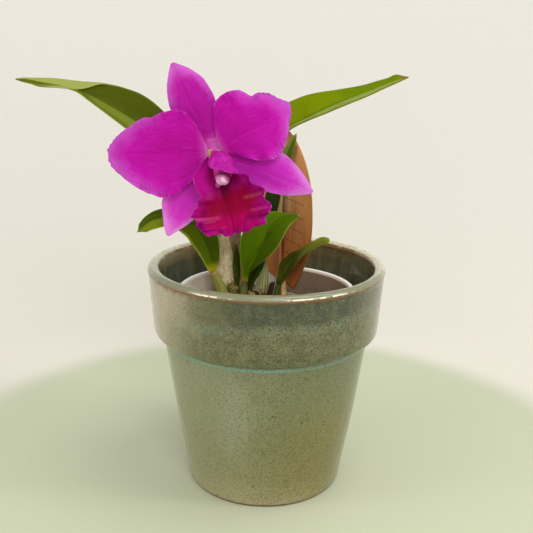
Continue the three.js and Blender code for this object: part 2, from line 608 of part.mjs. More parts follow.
// Petals and sepals, each drawn pointing up along +Y with its face to +Z and then turned round the flower:
// sideways, outwards and forwards from the flower's middle, then half width to the left and to the right.
const TEPALS = {
  sepal_dorsal: {
    turn: 97,
    stations: [[0, 3.7, -0.6, 2.4, 2.4], [0, 11, -2, 6.4, 7.4], [0, 18.5, -2.8, 9.8, 11],
      [0, 26, -3, 12, 13.7],
      [0, 34, -3, 11.8, 13.6], [0, 41.5, -3, 9.3, 12.2], [0.3, 48.5, -3.4, 5.3, 7.8],
      [0.6, 54.6, -4, 0.9, 0.9]],
    wrap: [0, -14, -22, -24],
    frill: { height: [0, 0.3, 0.4, 0.3], waves: 2.2, offset: 0.3 },
  },
  sepal_left: {
    turn: -137.4,
    stations: [[0, 3.7, -0.6, 2.4, 2.4], [0, 12, -2.4, 5.4, 5.8], [0, 20, -3.4, 8.4, 9.6],
      [0, 28, -3.8, 10.4, 12.8],
      [0, 36, -4.4, 9.8, 13.8], [0, 43.5, -5.2, 7.3, 12.1], [0.4, 50.5, -6.4, 3.8, 6.8],
      [0.8, 56.6, -7.6, 0.9, 0.9]],
    wrap: [0, -16, -26, -26],
    frill: { height: [0, 0.3, 0.4, 0.3], waves: 2.4, offset: 0.2 },
  },
  sepal_right: {
    turn: -41.4,
    stations: [[0, 3.7, -0.6, 2.4, 2.4], [0, 13, -2.4, 6, 5.6], [0, 22, -3.2, 10.6, 8.4],
      [0, 31, -3.4, 14, 10.4],
      [0, 40, -3.6, 14, 9.7], [0, 49, -4, 10, 7.8], [0, 56.4, -4.6, 5.5, 4.5],
      [0, 62.6, -5.4, 0.9, 0.9]],
    wrap: [0, -16, -24, -24],
    frill: { height: [0, 0.3, 0.4, 0.3], waves: 2.3, offset: 0.4 },
  },
  petal_left: {
    turn: 163.4,
    stations: [[0, 3.7, 0.9, 2.4, 2.4], [0, 9, 2.2, 10.2, 14.2], [0, 16, 3, 18.8, 22.6],
      [0, 24, 3.4, 23.6, 23.8], [0, 32.4, 3.2, 24.5, 21.3], [0, 41, 2.4, 21.6, 18.9],
      [0, 49.4, 1, 15.4, 13.8], [0, 56.2, -1, 9.4, 8.9], [0, 60.4, -2.6, 3.2, 3]],
    wrap: [0, 12, 16, 12, 4],
    frill: { height: [0, 0.7, 1.1, 1.2, 0.6], waves: 5.3, offset: 0.35 },
    across: 8,
  },
  petal_right: {
    turn: 10.6,
    stations: [[0, 3.7, 0.9, 2.4, 2.4], [0, 8, 2.2, 13.4, 6.4], [0, 14, 3, 23.4, 12.2],
      [0, 20.6, 3.4, 24.9, 17.8], [0, 27.4, 3.4, 23.5, 21], [0, 34.4, 3, 17.4, 19.1],
      [-0.3, 40.8, 2, 15.6, 12.1], [-1.4, 46.5, 0.6, 11, 6], [-3, 50.8, -0.6, 1.2, 1.2]],
    wrap: [0, 12, 16, 10, 0],
    frill: { height: [0, 0.8, 1.2, 1.2, 0.6], waves: 4.6, offset: 0.15 },
    across: 8,
  },
};

// The lip curls up round the column. Its left lobe, as its own axis runs, closes over the column as a roof,
// its right lobe stands open like an ear, and both pass into one frilled front lobe.
const LIP = {
  stations: [[0, -4.3, 1, 10.5, 9.1], [-0.6, -9.5, 3.8, 28.6, 12], [-1.6, -16, 6.8, 33.5, 17],
    [-2.2, -23, 9.8, 28.5, 12.4], [-2.6, -30, 12.4, 25, 20.4], [-3.2, -37, 13.6, 24, 20.2],
    [-4, -43.2, 12, 21, 17.4], [-5.6, -48.4, 8.4, 15, 14.4]],
  face: [[0, 0.5, 0.86], [0, 0.45, 0.9], [0, 0.4, 0.92], [0, 0.3, 0.95], [0, 0.1, 1], [0, -0.2, 0.98],
    [0, -0.5, 0.87], [0, -0.7, 0.7]],
  curls: { left: [150, 200, 200, 127, 62, 30, 6, -8], right: [130, 80, 65, 50, 50, 25, 4, -8] },
  flare: [0, 1.5, 2, 1, 0],
  frill: { height: [0, 0, 0.3, 1.2, 1.9, 2, 1.9, 1.6], waves: 7.4, offset: 0.4, end: 1.1 },
  round: 0.07,
  steps: 20,
  across: 14,
};

const COLUMN = [[0, -0.5, 2.2, 2.3], [0, -5.4, 7.2, 3], [0.3, -10.8, 12, 4.2], [0.7, -15.2, 16.2, 5.2]];
const ANTHER_CAP = [[-0.8, -15.2, 17.7, 2.8], [-1, -16.1, 18.6, 2.9], [-1.2, -16.9, 19.4, 2.3],
  [-1.3, -17.4, 20, 1]];

function addFlower() {
  const standing = new THREE.Group();
  standing.position.set(...FLOWER_CENTRE);
  standing.rotation.z = radians(FLOWER_HEADING);
  object.add(standing);
  const flower = new THREE.Group();
  flower.rotation.set(radians(90 - FLOWER_LIFT), 0, radians(FLOWER_ROLL));
  standing.add(flower);
  for (const [name, { turn, ...shape }] of Object.entries(TEPALS)) {
    const tepal = blade({ face: [[0, 0, 1]], thickness: TEPAL_THICKNESS, steps: 13, across: 6, ...shape });
    add(name, tepal, 'petal', flower).rotation.z = radians(turn - 90);
  }
  add('lip', blade({ thickness: TEPAL_THICKNESS, ...LIP }), 'lip', flower);
  const reference = [1, 0, 0];
  add('column', stem({ stations: COLUMN, sides: 10, steps: 6, reference }), 'column', flower);
  add('anther_cap', stem({ stations: ANTHER_CAP, sides: 8, steps: 4, reference }), 'anther', flower);
}

// ---------------------------------------------------------------- assembly

add('ceramic_pot', ceramicPot(), 'glaze');
add('nursery_pot', nurseryPot(), 'nursery');
add('bark_mix', barkMix(), 'bark');
add('rhizome', fromSolid(rhizome(0)), 'rhizome');
for (const [name, { stations, material }] of Object.entries(BULBS)) {
  add(name, stem({ stations, sides: 10, steps: 8 }), material);
}
for (const [name, shape] of Object.entries(LEAVES)) {
  add(name, blade(shape), DARK_LEAVES.includes(name) ? 'darkLeaf' : 'leaf');
}
add('flower_stem', stem({ stations: FLOWER_STEM, sides: 8, steps: 12, reference: [1, 0, 0] }), 'stem');
add('flower_sheath', blade(FLOWER_SHEATH), 'sheath');
addFlower();
add('label_board', labelBoard(), 'wood');
add('label_stake', stakeBox(0), 'stake');

export default object;
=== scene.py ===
"""Looks of the potted cattleya orchid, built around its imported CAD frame.

Shapes are worked out in millimetres, in the frame's own axes, and become metres when a mesh is made.
"""

import math

import bpy
import numpy as np
from mathutils import Matrix, Quaternion, Vector


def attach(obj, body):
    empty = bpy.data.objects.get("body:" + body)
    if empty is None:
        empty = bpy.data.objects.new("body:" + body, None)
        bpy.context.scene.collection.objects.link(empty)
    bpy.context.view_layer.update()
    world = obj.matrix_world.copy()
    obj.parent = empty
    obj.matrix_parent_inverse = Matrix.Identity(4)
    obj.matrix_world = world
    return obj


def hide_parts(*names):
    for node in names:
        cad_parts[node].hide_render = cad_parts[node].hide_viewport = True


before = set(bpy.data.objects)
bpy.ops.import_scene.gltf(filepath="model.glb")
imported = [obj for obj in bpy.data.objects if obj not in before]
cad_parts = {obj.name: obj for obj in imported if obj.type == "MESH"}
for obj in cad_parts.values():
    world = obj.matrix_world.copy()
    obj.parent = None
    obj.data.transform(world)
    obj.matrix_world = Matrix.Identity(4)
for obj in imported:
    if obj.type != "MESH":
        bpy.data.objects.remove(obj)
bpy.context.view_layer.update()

MM = 0.001
TAU = 2 * math.pi

# ---------------------------------------------------------------- numbers and noise


def unit(vectors):
    """The same directions, each of length one."""
    return vectors / np.maximum(np.linalg.norm(vectors, axis=-1, keepdims=True), 1e-9)


def fade(low, high, value):
    """0 at low, 1 at high, smooth between them."""
    share = np.clip((value - low) / (high - low), 0, 1)
    return share * share * (3 - 2 * share)


def peak(value, middle, width):
    """1 at the middle, fading to both sides over about that width."""
    return np.exp(-(((value - middle) / width) ** 2))


def along(rows, t):
    """Value at t (0..1) on a smooth curve through evenly spaced numbers or rows of numbers."""
    rows = np.asarray(rows, float)
    t = np.asarray(t, float)
    if len(rows) == 1:
        return np.broadcast_to(rows[0], t.shape + rows.shape[1:])
    spans = len(rows) - 1
    padded = np.concatenate([[2 * rows[0] - rows[1]], rows, [2 * rows[-1] - rows[-2]]])
    place = np.clip(t, 0, 1) * spans
    i = np.minimum(place.astype(int), spans - 1)
    f = place - i
    if rows.ndim > 1:
        f = f[..., None]
    a, b, c, d = padded[i], padded[i + 1], padded[i + 2], padded[i + 3]
    bend = 2 * a - 5 * b + 4 * c - d
    twist = 3 * b - a - 3 * c + d
    return 0.5 * (2 * b + (c - a) * f + bend * f**2 + twist * f**3)


def heading(rows, t):
    """Unit direction of the curve through rows at t."""
    step = 0.01
    return unit(along(rows, np.minimum(t + step, 1)) - along(rows, np.maximum(t - step, 0)))


def lattice(cell, seed):
    """A repeatable value from -1 to 1 for each whole-numbered cell."""
    cell = cell.astype(np.int64)
    bits = 0xFFFFFFFF
    value = (cell[..., 0] * 73856093) ^ (cell[..., 1] * 19349663) ^ (cell[..., 2] * 83492791)
    value = (value ^ (seed * 40503 + 977)) & bits
    value = ((value ^ (value >> 15)) * 2246822519) & bits
    value = ((value ^ (value >> 13)) * 3266489917) & bits
    return (value ^ (value >> 16)) / (bits / 2) - 1


def lumps(points, size, seed, octaves=1):
    """Smooth noise from about -1 to 1, with lumps of that size in millimetres."""
    total = 0
    for octave in range(octaves):
        place = points / size * 2**octave + 17.3 * octave
        cell = np.floor(place)
        f = place - cell
        f = f * f * (3 - 2 * f)
        value = 0
        for corner in np.ndindex(2, 2, 2):
            share = np.prod(np.where(corner, f, 1 - f), axis=-1)
            value = value + share * lattice(cell + np.array(corner), seed + 31 * octave)
        total = total + value / 2**octave
    return total


def wander(x, y, size, seed, octaves=1):
    """Noise over two plain numbers, such as a place along and across a leaf."""
    x, y = np.broadcast_arrays(x, y)
    return lumps(np.stack([x, y, np.zeros_like(x)], -1), size, seed, octaves)


# ---------------------------------------------------------------- forms


class Form:
    """Points in millimetres, faces, and three numbers for each point that its material reads."""

    def __init__(self, points, faces, tags):
        self.points = np.asarray(points, float).reshape(-1, 3)
        self.faces = [list(face) for face in faces]
        self.tags = np.asarray(tags, float).reshape(-1, 3)

    def outward(self):
        """The same form with its faces looking out of the volume that they close."""
        volume = 0
        for size in (3, 4):
            rows = [face for face in self.faces if len(face) == size]
            if rows:
                corner = self.points[np.array(rows)]
                for k in range(1, size - 1):
                    volume += np.sum(corner[:, 0] * np.cross(corner[:, k], corner[:, k + 1]))
        if volume < 0:
            self.faces = [face[::-1] for face in self.faces]
        return self

    def placed(self, matrix):
        """The same form, moved."""
        matrix = np.array(matrix)
        self.points = self.points @ matrix[:3, :3].T + matrix[:3, 3]
        return self


def join(forms):
    """All forms as one."""
    faces = []
    shift = 0
    for form in forms:
        faces += [[i + shift for i in face] for face in form.faces]
        shift += len(form.points)
    points = np.concatenate([form.points for form in forms])
    return Form(points, faces, np.concatenate([form.tags for form in forms]))


def grid_faces(index, flip=False):
    """Quads between the neighbours of a grid of point numbers."""
    a, b, c, d = index[:-1, :-1], index[:-1, 1:], index[1:, 1:], index[1:, :-1]
    order = (d, c, b, a) if flip else (a, b, c, d)
    return np.stack(order, -1).reshape(-1, 4).tolist()


def ring_index(rings):
    """Point numbers of rings of points, with the first of each ring repeated to close it."""
    index = np.arange(rings.shape[0] * rings.shape[1]).reshape(rings.shape[:2])
    return np.concatenate([index, index[:, :1]], axis=1)


def capped(rings, tags, poles, pole_tags):
    """A closed form of rings of points, with a fan of faces to a pole at each end."""
    index = ring_index(rings)
    faces = grid_faces(index)
    count = index.max() + 1
    for pole, row in ((count, index[0][::-1]), (count + 1, index[-1])):
        faces += [[pole, here, beside] for here, beside in zip(row[:-1], row[1:])]
    points = np.concatenate([rings.reshape(-1, 3), poles])
    return Form(points, faces, np.concatenate([tags.reshape(-1, 3), pole_tags])).outward()


def polar(radius, turn, height):
    """Points at that radius, share of a turn and height."""
    angle = TAU * turn
    return np.stack(np.broadcast_arrays(radius * np.cos(angle), radius * np.sin(angle), height), -1)


def blade_surface(shape, t, u):
    """Middle surface of a leaf or petal at t along and u across it, by the rule of the CAD solids."""
    stations = np.array(shape["stations"], float)
    place = np.clip(t - shape.get("round", 0) * u**2 * t**4, 0, 1)
    middle = along(stations[:, :3], place)
    ahead = heading(stations[:, :3], place)
    side = unit(np.cross(ahead, along(shape["face"], place)))
    up = np.cross(side, ahead)
    left = along(stations[:, 3], place)
    right = along(stations[:, 4], place)
    if "outline" in shape:
        left, right = left * shape["outline"](t, -1), right * shape["outline"](t, 1)
    width = np.where(u < 0, left, right)
    if "curls" in shape:
        bends = [along(shape["curls"][key], place) for key in ("left", "right")]
        curl = np.radians(np.where(u < 0, *bends)) / width
    else:
        curl = np.radians(along(shape.get("wrap", [0]), place)) / (left + right)
    reach = u * width
    angle = reach * curl
    flat = np.abs(curl) < 1e-5
    safe = np.where(flat, 1, curl)
    across = np.where(flat, reach, np.sin(angle) / safe)
    lift = np.where(flat, 0, (1 - np.cos(angle)) / safe)
    fold = np.radians(along(shape.get("fold", [0]), place))
    keel = np.sqrt(across**2 + 0.15) - 0.387
    rise = lift + keel * np.tan(fold)
    cosine, sine = np.cos(angle)[..., None], np.sin(angle)[..., None]
    normal = up * cosine - side * sine
    push = -along(shape.get("flare", [0]), place) * np.maximum(u, 0) ** 3
    if "frill" in shape:
        frill = shape["frill"]
        shift = np.where(u < 0, frill["offset"], 0)
        margin = np.abs(u) ** 3 * np.sin(TAU * (frill["waves"] * t + shift))
        end = frill.get("end", 0) * t**8 * np.sin(3 * math.pi * u)
        push = push + along(frill["height"], place) * margin + end
    if "relief" in shape:
        push = push + shape["relief"](t, u)
    point = middle + side * across[..., None] + up * rise[..., None]
    return point + normal * push[..., None], normal


def sheet(shape, rows, columns, thickness, crisp=6, ends=30):
    """A closed thin sheet with rounded edges. Tags are t, u, and 1 on its face to -1 on its back."""
    s = np.linspace(-1, 1, columns + 1)
    t, u = np.meshgrid(np.linspace(0, 1, rows + 1), 0.25 * s + 0.75 * np.sin(math.pi * s / 2), indexing="ij")
    point, normal = blade_surface(shape, t, u)
    facing = unit(np.cross(np.gradient(point, axis=1), np.gradient(point, axis=0)))
    facing *= np.sign(np.sum(facing * normal, -1, keepdims=True) + 1e-12)
    profile = np.sqrt(np.clip(1 - np.abs(u) ** crisp, 0, 1) * np.clip(1 - np.abs(2 * t - 1) ** ends, 0, 1))
    if "body" in shape:
        profile = profile * shape["body"](t, u)
    half = (thickness / 2 * profile)[..., None]
    front = np.arange(t.size).reshape(t.shape)
    back = front.copy()
    inner = (slice(1, -1), slice(1, -1))
    back[inner] = t.size + np.arange(back[inner].size).reshape(back[inner].shape)
    points = [(point + facing * half).reshape(-1, 3), (point - facing * half)[inner].reshape(-1, 3)]
    edge = np.zeros_like(t)
    edge[inner] = 1
    tags = [np.stack([t, u, edge], -1).reshape(-1, 3), np.stack([t, u, -edge], -1)[inner].reshape(-1, 3)]
    faces = grid_faces(front) + grid_faces(back, flip=True)
    return Form(np.concatenate(points), faces, np.concatenate(tags)).outward()


def tube(stations, steps, sides, reference=(0, 1, 0), relief=None, ends=(0.03, 0.03), part=0):
    """A round stem through stations of x, y, z, radius. Tags are t, turn (0..1) and part."""
    stations = np.array(stations, float)
    reference = np.array(reference, float)
    first_end, last_end = ends
    dome = 1 - np.cos(np.linspace(0, math.pi / 2, 7))[1:]
    t = np.concatenate([first_end * dome, np.linspace(first_end, 1 - last_end, steps + 1)[1:-1],
                        1 - last_end * dome[::-1]])
    ahead = heading(stations[:, :3], t)
    first = unit(reference - ahead * (ahead @ reference)[:, None])[:, None]
    second = np.cross(ahead[:, None], first)
    cap = 1
    for share in (t / first_end, (1 - t) / last_end):
        cap = cap * np.sqrt(1 - np.clip(1 - share, 0, 1) ** 2)
    turn = np.arange(sides) / sides
    radius = along(stations[:, 3], t)[:, None] * np.ones(sides)
    if relief is not None:
        radius = radius + relief(t[:, None], turn)
    angle = TAU * turn[:, None]
    spokes = first * np.cos(angle) + second * np.sin(angle)
    rings = along(stations[:, :3], t)[:, None] + spokes * (radius * cap[:, None])[..., None]
    tags = np.stack(np.broadcast_arrays(t[:, None], turn, float(part)), -1)
    return capped(rings, tags, along(stations[:, :3], np.array([0.0, 1.0])), [[0, 0, part], [1, 0, part]])


def rounded(corners, spacing):
    """A profile through rows of radius, height and rounding, with points about that far apart."""
    corners = np.array(corners, float)
    path = [corners[0, :2]]
    for before, here, after in zip(corners[:-2], corners[1:-1], corners[2:]):
        back, on = before[:2] - here[:2], after[:2] - here[:2]
        limit = 0.48 * min(np.linalg.norm(back), np.linalg.norm(on))
        cut = min(here[2], limit)
        if cut < 1e-3:
            path.append(here[:2])
            continue
        start = here[:2] + unit(back) * cut
        stop = here[:2] + unit(on) * cut
        for f in np.linspace(0, 1, 7):
            path.append((1 - f) ** 2 * start + 2 * f * (1 - f) * here[:2] + f * f * stop)
    path.append(corners[-1, :2])
    result = [path[0]]
    for point in path[1:]:
        count = max(1, int(np.linalg.norm(point - result[-1]) / spacing))
        start = result[-1]
        result += [start + (point - start) * (k + 1) / count for k in range(count)]
    return np.array(result)


def lathe(profile, segments, relief):
    """A turned form from a profile that starts and ends on the axis. Tags are left for the caller."""
    turn = np.arange(segments) / segments
    line = profile[1:-1]
    slope = unit(np.gradient(line, axis=0))
    radius, height = (line[:, [which]] * np.ones(segments) for which in (0, 1))
    push = relief(radius, height, turn)
    rings = polar(radius + push * slope[:, 1:], turn, height - push * slope[:, :1])
    poles = [[0, 0, profile[0, 1]], [0, 0, profile[-1, 1]]]
    return capped(rings, np.zeros_like(rings), poles, np.zeros((2, 3)))


def pebble(size, seed, detail, squareness, rough):
    """A worn block of that size, such as a bark chip. Tags are left for the caller."""
    s = np.linspace(-1, 1, detail + 1)
    a, b = np.meshgrid(s, s, indexing="ij")
    one = np.ones_like(a)
    sides = [(a, b, one), (b, a, -one), (one, a, b), (-one, b, a), (b, one, a), (a, -one, b)]
    points = np.concatenate([np.stack(side, -1).reshape(-1, 3) for side in sides])
    keys, index = np.unique(np.round(points, 6), axis=0, return_inverse=True)
    index = index.reshape(6, detail + 1, detail + 1)
    length = (np.sum(np.abs(keys) ** squareness, axis=1) ** (1 / squareness))[:, None]
    shaped = keys / length
    shaped = shaped * (1 + rough * lumps(shaped * 3, 2.2, seed, 2)[:, None])
    faces = [face for patch in index for face in grid_faces(patch)]
    return Form(shaped * np.array(size) / 2, faces, np.zeros((len(keys), 3))).outward()


# ---------------------------------------------------------------- materials


def linear(code):
    """The linear colour of an sRGB code of six hexadecimal digits."""
    values = [int(code[i:i + 2], 16) / 255 for i in (0, 2, 4)]
    return tuple(v / 12.92 if v <= 0.04045 else ((v + 0.055) / 1.055) ** 2.4 for v in values) + (1,)


class Signal:
    """A number, vector or colour that a material works out at each point of a surface."""

    def __init__(self, paint, socket):
        self.paint = paint
        self.socket = socket

    def __add__(self, other):
        return self.paint.math("ADD", self, other)

    def __sub__(self, other):
        return self.paint.math("SUBTRACT", self, other)

    def __mul__(self, other):
        return self.paint.math("MULTIPLY", self, other)

    def __truediv__(self, other):
        return self.paint.math("DIVIDE", self, other)

    def __pow__(self, other):
        return self.paint.math("POWER", self, other)

    def __abs__(self):
        return self.paint.math("ABSOLUTE", self)


class Paint:
    """One procedural material, put together node by node. Its lengths are millimetres."""

    def __init__(self, name, **sockets):
        self.material = bpy.data.materials.new(name)
        self.material.use_nodes = True
        self.tree = self.material.node_tree
        self.shader = self.tree.nodes["Principled BSDF"]
        self.colour = None
        for socket, value in sockets.items():
            self.shader.inputs[socket.replace("_", " ")].default_value = value
        self.place = self.node("ShaderNodeTexCoord", {}, "Object")
        self.axes = [axis * 1000 for axis in self.split(self.place)]
        self.tags = self.split(self.node("ShaderNodeAttribute", {}, "Vector", attribute_name="tags"))

    def node(self, kind, inputs, output=0, **settings):
        """One output of a new node."""
        node = self.tree.nodes.new(kind)
        for key, value in settings.items():
            setattr(node, key, value)
        for key, value in inputs.items():
            if isinstance(value, Signal):
                self.tree.links.new(value.socket, node.inputs[key])
            else:
                node.inputs[key].default_value = value
        return Signal(self, node.outputs[output])

    def split(self, vector):
        node = self.node("ShaderNodeSeparateXYZ", {0: vector}).socket.node
        return [Signal(self, socket) for socket in node.outputs]

    def math(self, operation, *values):
        return self.node("ShaderNodeMath", dict(enumerate(values)), operation=operation)

    def larger(self, a, b):
        return self.math("MAXIMUM", a, b)

    def radius(self):
        """Distance from the pots' axis."""
        return self.math("SQRT", self.axes[0]**2 + self.axes[1]**2)

    def remap(self, value, low, high, to_low=0.0, to_high=1.0, kind="SMOOTHSTEP"):
        """to_low at low, to_high at high, and level beyond them."""
        inputs = {"Value": value, "From Min": low, "From Max": high, "To Min": to_low, "To Max": to_high}
        return self.node("ShaderNodeMapRange", inputs, interpolation_type=kind)

    def band(self, value, start, full, fading, end):
        """1 from full to fading, 0 before start and past end."""
        return self.remap(value, start, full) * self.remap(value, end, fading)

    def combine(self, x, y):
        return self.node("ShaderNodeCombineXYZ", {0: x, 1: y})

    def stretched(self, x=1.0, y=1.0, z=1.0):
        """Places with each axis scaled. The grain gets longer along an axis with a small scale."""
        scale = (1000 * x, 1000 * y, 1000 * z)
        return self.node("ShaderNodeVectorMath", {0: self.place, 1: scale}, operation="MULTIPLY")

    def noise(self, size, detail=3.0, rough=0.55, vector=None, twist=0.0):
        """Noise from 0 to 1 with lumps of that size."""
        inputs = {"Vector": vector or self.place, "Scale": 1 / size if vector else 1000 / size,
                  "Detail": detail, "Roughness": rough, "Distortion": twist}
        return self.node("ShaderNodeTexNoise", inputs, "Fac")

    def cells(self, size):
        """Distance to the nearest of many points scattered about that far apart."""
        return self.node("ShaderNodeTexVoronoi", {"Vector": self.place, "Scale": 1000 / size}, "Distance")

    def ramp(self, value, stops):
        """A colour that runs through stops of place and colour code."""
        ramp = self.node("ShaderNodeValToRGB", {0: value})
        elements = ramp.socket.node.color_ramp.elements
        while len(elements) < len(stops):
            elements.new(1.0)
        for element, (position, code) in zip(elements, stops):
            element.position = position
            element.color = linear(code)
        return ramp

    def mix(self, share, a, b):
        """Colour a with that share of colour b over it."""
        a, b = (linear(tone) if isinstance(tone, str) else tone for tone in (a, b))
        return self.node("ShaderNodeMix", {0: share, 6: a, 7: b}, 2, data_type="RGBA")

    def coat(self, share, tone):
        """Puts that share of a tone over the colour so far."""
        self.colour = self.mix(share, self.colour, tone)

    def lines(self, value, count, sharp):
        """Thin lines, 1 on the line and 0 between, count of them for each unit of value."""
        wave = self.math("SINE", value * (TAU * count))
        return self.math("MULTIPLY_ADD", wave, 0.5, 0.5) ** sharp

    def finish(self, roughness=None, height=None, depth=0.1):
        """The material in the colour so far, with bumps of that depth."""
        found = {"Base Color": self.colour, "Roughness": roughness}
        if height is not None:
            bump = {"Height": height, "Distance": depth * MM, "Strength": 1.0}
            found["Normal"] = self.node("ShaderNodeBump", bump)
        for socket, value in found.items():
            if value is not None:
                self.tree.links.new(value.socket, self.shader.inputs[socket])
        return self.material


# height of the foot of the cover pot's collar
COLLAR_FOOT = 100
# tones of the glaze from the pot's foot up to there; the pale tones at the foot are partly the glaze's own
# beige and partly painted bounce light from the floor
BODY_TONES = [
    (0.0, "b8b08a"), (0.06, "a69e74"), (0.2, "8a8456"), (0.4, "7f7d50"), (0.7, "7a7e57"), (1.0, "747b58"),
]


def glaze_body(p, drift):
    """Greyish sage at the left as a painted reflection of a bright wall, ochre at the lower right, and a pale
    upright band at the front as a painted reflection of a window.
    """
    x, y, height = p.axes
    level = p.remap(height + drift * 0.5, 0, COLLAR_FOOT, kind="LINEAR")
    body = p.ramp(level, BODY_TONES)
    # painted reflection: the left side turns greyish sage where the glaze reflects a bright wall
    left_side = p.remap(x + drift, 28, -48)
    body = p.mix(left_side * 0.7, body, p.mix(level, "959370", "8a9072"))
    ochre = p.remap(x + drift, 0, 34) * p.remap(height, 88, 50)
    body = p.mix(ochre * 0.5, body, "837a3e")
    # painted reflection of a window: a pale upright band at the front left of the body
    cloud = p.remap(abs(x + 19), 14, 1) * p.remap(y, 0, -30)
    cloud *= p.band(height, 22, 50, 78, 92)
    return p.mix(cloud * 0.35, body, "979d88")


def glaze_collar(p, drift, broad):
    """A dark green band under the rim, below it olive, with a painted reflection of a bright wall in beige at
    the far left and a paler painted reflection at the far right.
    """
    x, _, height = p.axes
    waver = (p.noise(16, 4, 0.6) - 0.5) * 12
    edge = height - p.remap(x, -60, 70, 124, 127, kind="LINEAR") + waver
    olive = p.mix(p.remap(p.noise(7, 4, 0.65), 0.35, 0.65), "585a36", "696a44")
    front_right = p.remap(x + drift, -46, 4)
    dark = p.remap(edge, -3, 5) * p.remap(front_right, 0, 1, 0.15, 1.0)
    collar = p.mix(dark, olive, p.mix(p.remap(p.noise(6, 3), 0.35, 0.65), "38412a", "48502f"))
    teal = p.band(edge, -7, -1.5, -1, 4)
    teal *= p.remap(p.noise(9, 3), 0.4, 0.7, 0.08, 0.32)
    collar = p.mix(teal, collar, "7a917c")
    # painted reflection: beige at the far left where the glaze reflects a bright wall
    beige = p.remap(x + drift * 0.6, -30, -64)
    collar = p.mix(beige * 0.75, collar, p.mix(p.remap(broad, 0.35, 0.65), "b6ac90", "9f9c7a"))
    # painted reflection: a paler greyish olive along the far right edge
    return p.mix(p.remap(x + drift, 46, 70, 0, 0.4), collar, "868a66")


def glaze_grain(p, drift, broad, runs, on_collar):
    """Painted shade that darkens the right side, runs, a pool of celadon under the collar with a painted
    shadow line above it, and speckles that grow denser to the right.
    """
    x, _, height = p.axes
    # painted shade: darker towards the right, less on the collar
    deeper = p.remap(x + drift, -60, 20, 0.02, 0.15)
    p.coat(deeper * p.remap(on_collar, 0, 1, 1.0, 0.3), "141408")
    streak = p.remap(runs, 0.54, 0.7) * p.remap(x, 20, -50, 0.05, 0.2)
    p.coat(streak, "b0ac8c")
    pool = height + (p.noise(5, 2) - 0.5) * 1.6
    pooled = p.band(pool, 96.4, 97.4, 98.4, 99.2)
    p.coat(pooled * p.remap(broad, 0.3, 0.7, 0.4, 0.85), "6f9c8c")
    # painted shadow: a dark line in the recess under the collar, just above the pool
    painted_shadow_under_collar = p.remap(pool, 98.6, 99.8) * p.remap(height, 102.4, 101.2)
    p.coat(painted_shadow_under_collar * 0.55, "333c2a")
    grain = p.noise(1.0, 3, 0.75)
    strength = p.remap(x + drift, -62, 10, 0.35, 1.0) * p.remap(on_collar, 0, 1, 0.62, 1.0)
    p.coat(p.remap(grain, 0.51, 0.58) * strength * 0.8, "2a2f16")
    p.coat(p.remap(grain, 0.42, 0.33) * strength * 0.26, "9ca27a")
    rust = p.remap(p.noise(3.4, 3, 0.7), 0.58, 0.7) * 0.4
    p.coat(rust * strength, "5c4a20")
    spots = p.remap(p.cells(6.5), 0.13, 0.06) * p.remap(p.noise(12, 2), 0.5, 0.6)
    p.coat(spots * 0.8, "2c2f18")
    return grain


def glaze_rim(p, broad, ragged):
    """Celadon on top, thin brown lines at its edges, and a painted near-white highlight along the front of
    its outer edge.
    """
    x, y, height = p.axes
    radius = p.radius()
    crown = p.remap(height + broad - 0.5, 141.6, 143.4)
    celadon = p.mix(p.remap(p.noise(5, 4, 0.65), 0.35, 0.65), "8c9476", "7a866a")
    celadon = p.mix(p.remap(p.noise(1.2, 2, 0.7), 0.5, 0.62, 0, 0.5), celadon, "5c6c4c")
    sides = p.remap(y, -50, 10)
    celadon = p.mix(sides * 0.9, celadon, p.mix(p.remap(p.noise(3, 3), 0.4, 0.6), "d8d8c0", "bcbd9c"))
    p.coat(crown * p.remap(radius, 67.0, 68.0), celadon)
    shoulder = p.remap(radius, 72.2, 73) * p.remap(height, 141.6, 142.6)
    p.coat(shoulder * p.remap(y, 0, -40, 0, 0.7), "74745a")
    second_line = radius - 72.5 + ragged * 0.3
    second_line = p.remap(abs(second_line), 0.6, 0.1) * p.remap(height, 143, 144)
    second_line *= p.remap(p.noise(7, 3), 0.36, 0.55, 0.2, 0.8)
    p.coat(second_line * p.remap(y, -10, -50), "7c5e30")
    # painted highlight: broken near-white lines along the rim's outer front edge, where the lamps glint
    thin = p.larger(p.band(x, -46, -36, -26, -16), p.band(x, 6, 18, 36, 54))
    thin *= p.remap(y, -20, -40) * p.remap(radius, 73.2, 73.8)
    thin *= p.remap(abs(height - 143.3 + ragged * 0.5), 0.6, 0.15)
    p.coat(thin * p.remap(p.noise(4, 3), 0.4, 0.56, 0.1, 0.9), "fcf6e4")
    edge_out = height - 141.9 + ragged * 0.6
    outer_line = p.remap(abs(edge_out), 1.15, 0.3) * p.remap(radius, 72, 73.5)
    stain = p.remap(abs(edge_out + 0.8), 3.4, 0.5) * p.remap(x, -28, -58)
    stain *= p.remap(p.noise(5, 3), 0.4, 0.6, 0.1, 0.7)
    edge_in = radius - 67.9 + ragged * 0.4
    inner_line = p.remap(abs(edge_in), 1.1, 0.3) * crown
    stain *= p.remap(radius, 71, 73)
    lines = p.larger(p.larger(outer_line, inner_line), stain)
    lines *= p.remap(p.noise(8, 3), 0.34, 0.55, 0.35, 0.95)
    p.coat(lines, p.mix(p.noise(3), "80501e", "5c401c"))


def glaze_inside(p, runs):
    """The inner wall, darker and greener."""
    height = p.axes[2]
    radius = p.radius()
    inside = p.remap(radius, 67.6, 66.6) * p.remap(height, 8.3, 8.8)
    wall_slope = radius - p.remap(height, 8, 142, 44, 68, kind="LINEAR")
    inside *= p.remap(wall_slope, 3.4, 1.8)
    inner = p.mix(p.remap(runs, 0.35, 0.7), "4a523e", "666e56")
    under_rim = p.mix(p.remap(p.noise(2, 3), 0.4, 0.6), "6c6a48", "858463")
    inner = p.mix(p.remap(height, 134, 142), inner, under_rim)
    inner = p.mix(p.remap(p.noise(1.4, 3, 0.7), 0.56, 0.68, 0, 0.5), inner, "2a2e1c")
    p.coat(inside, inner)


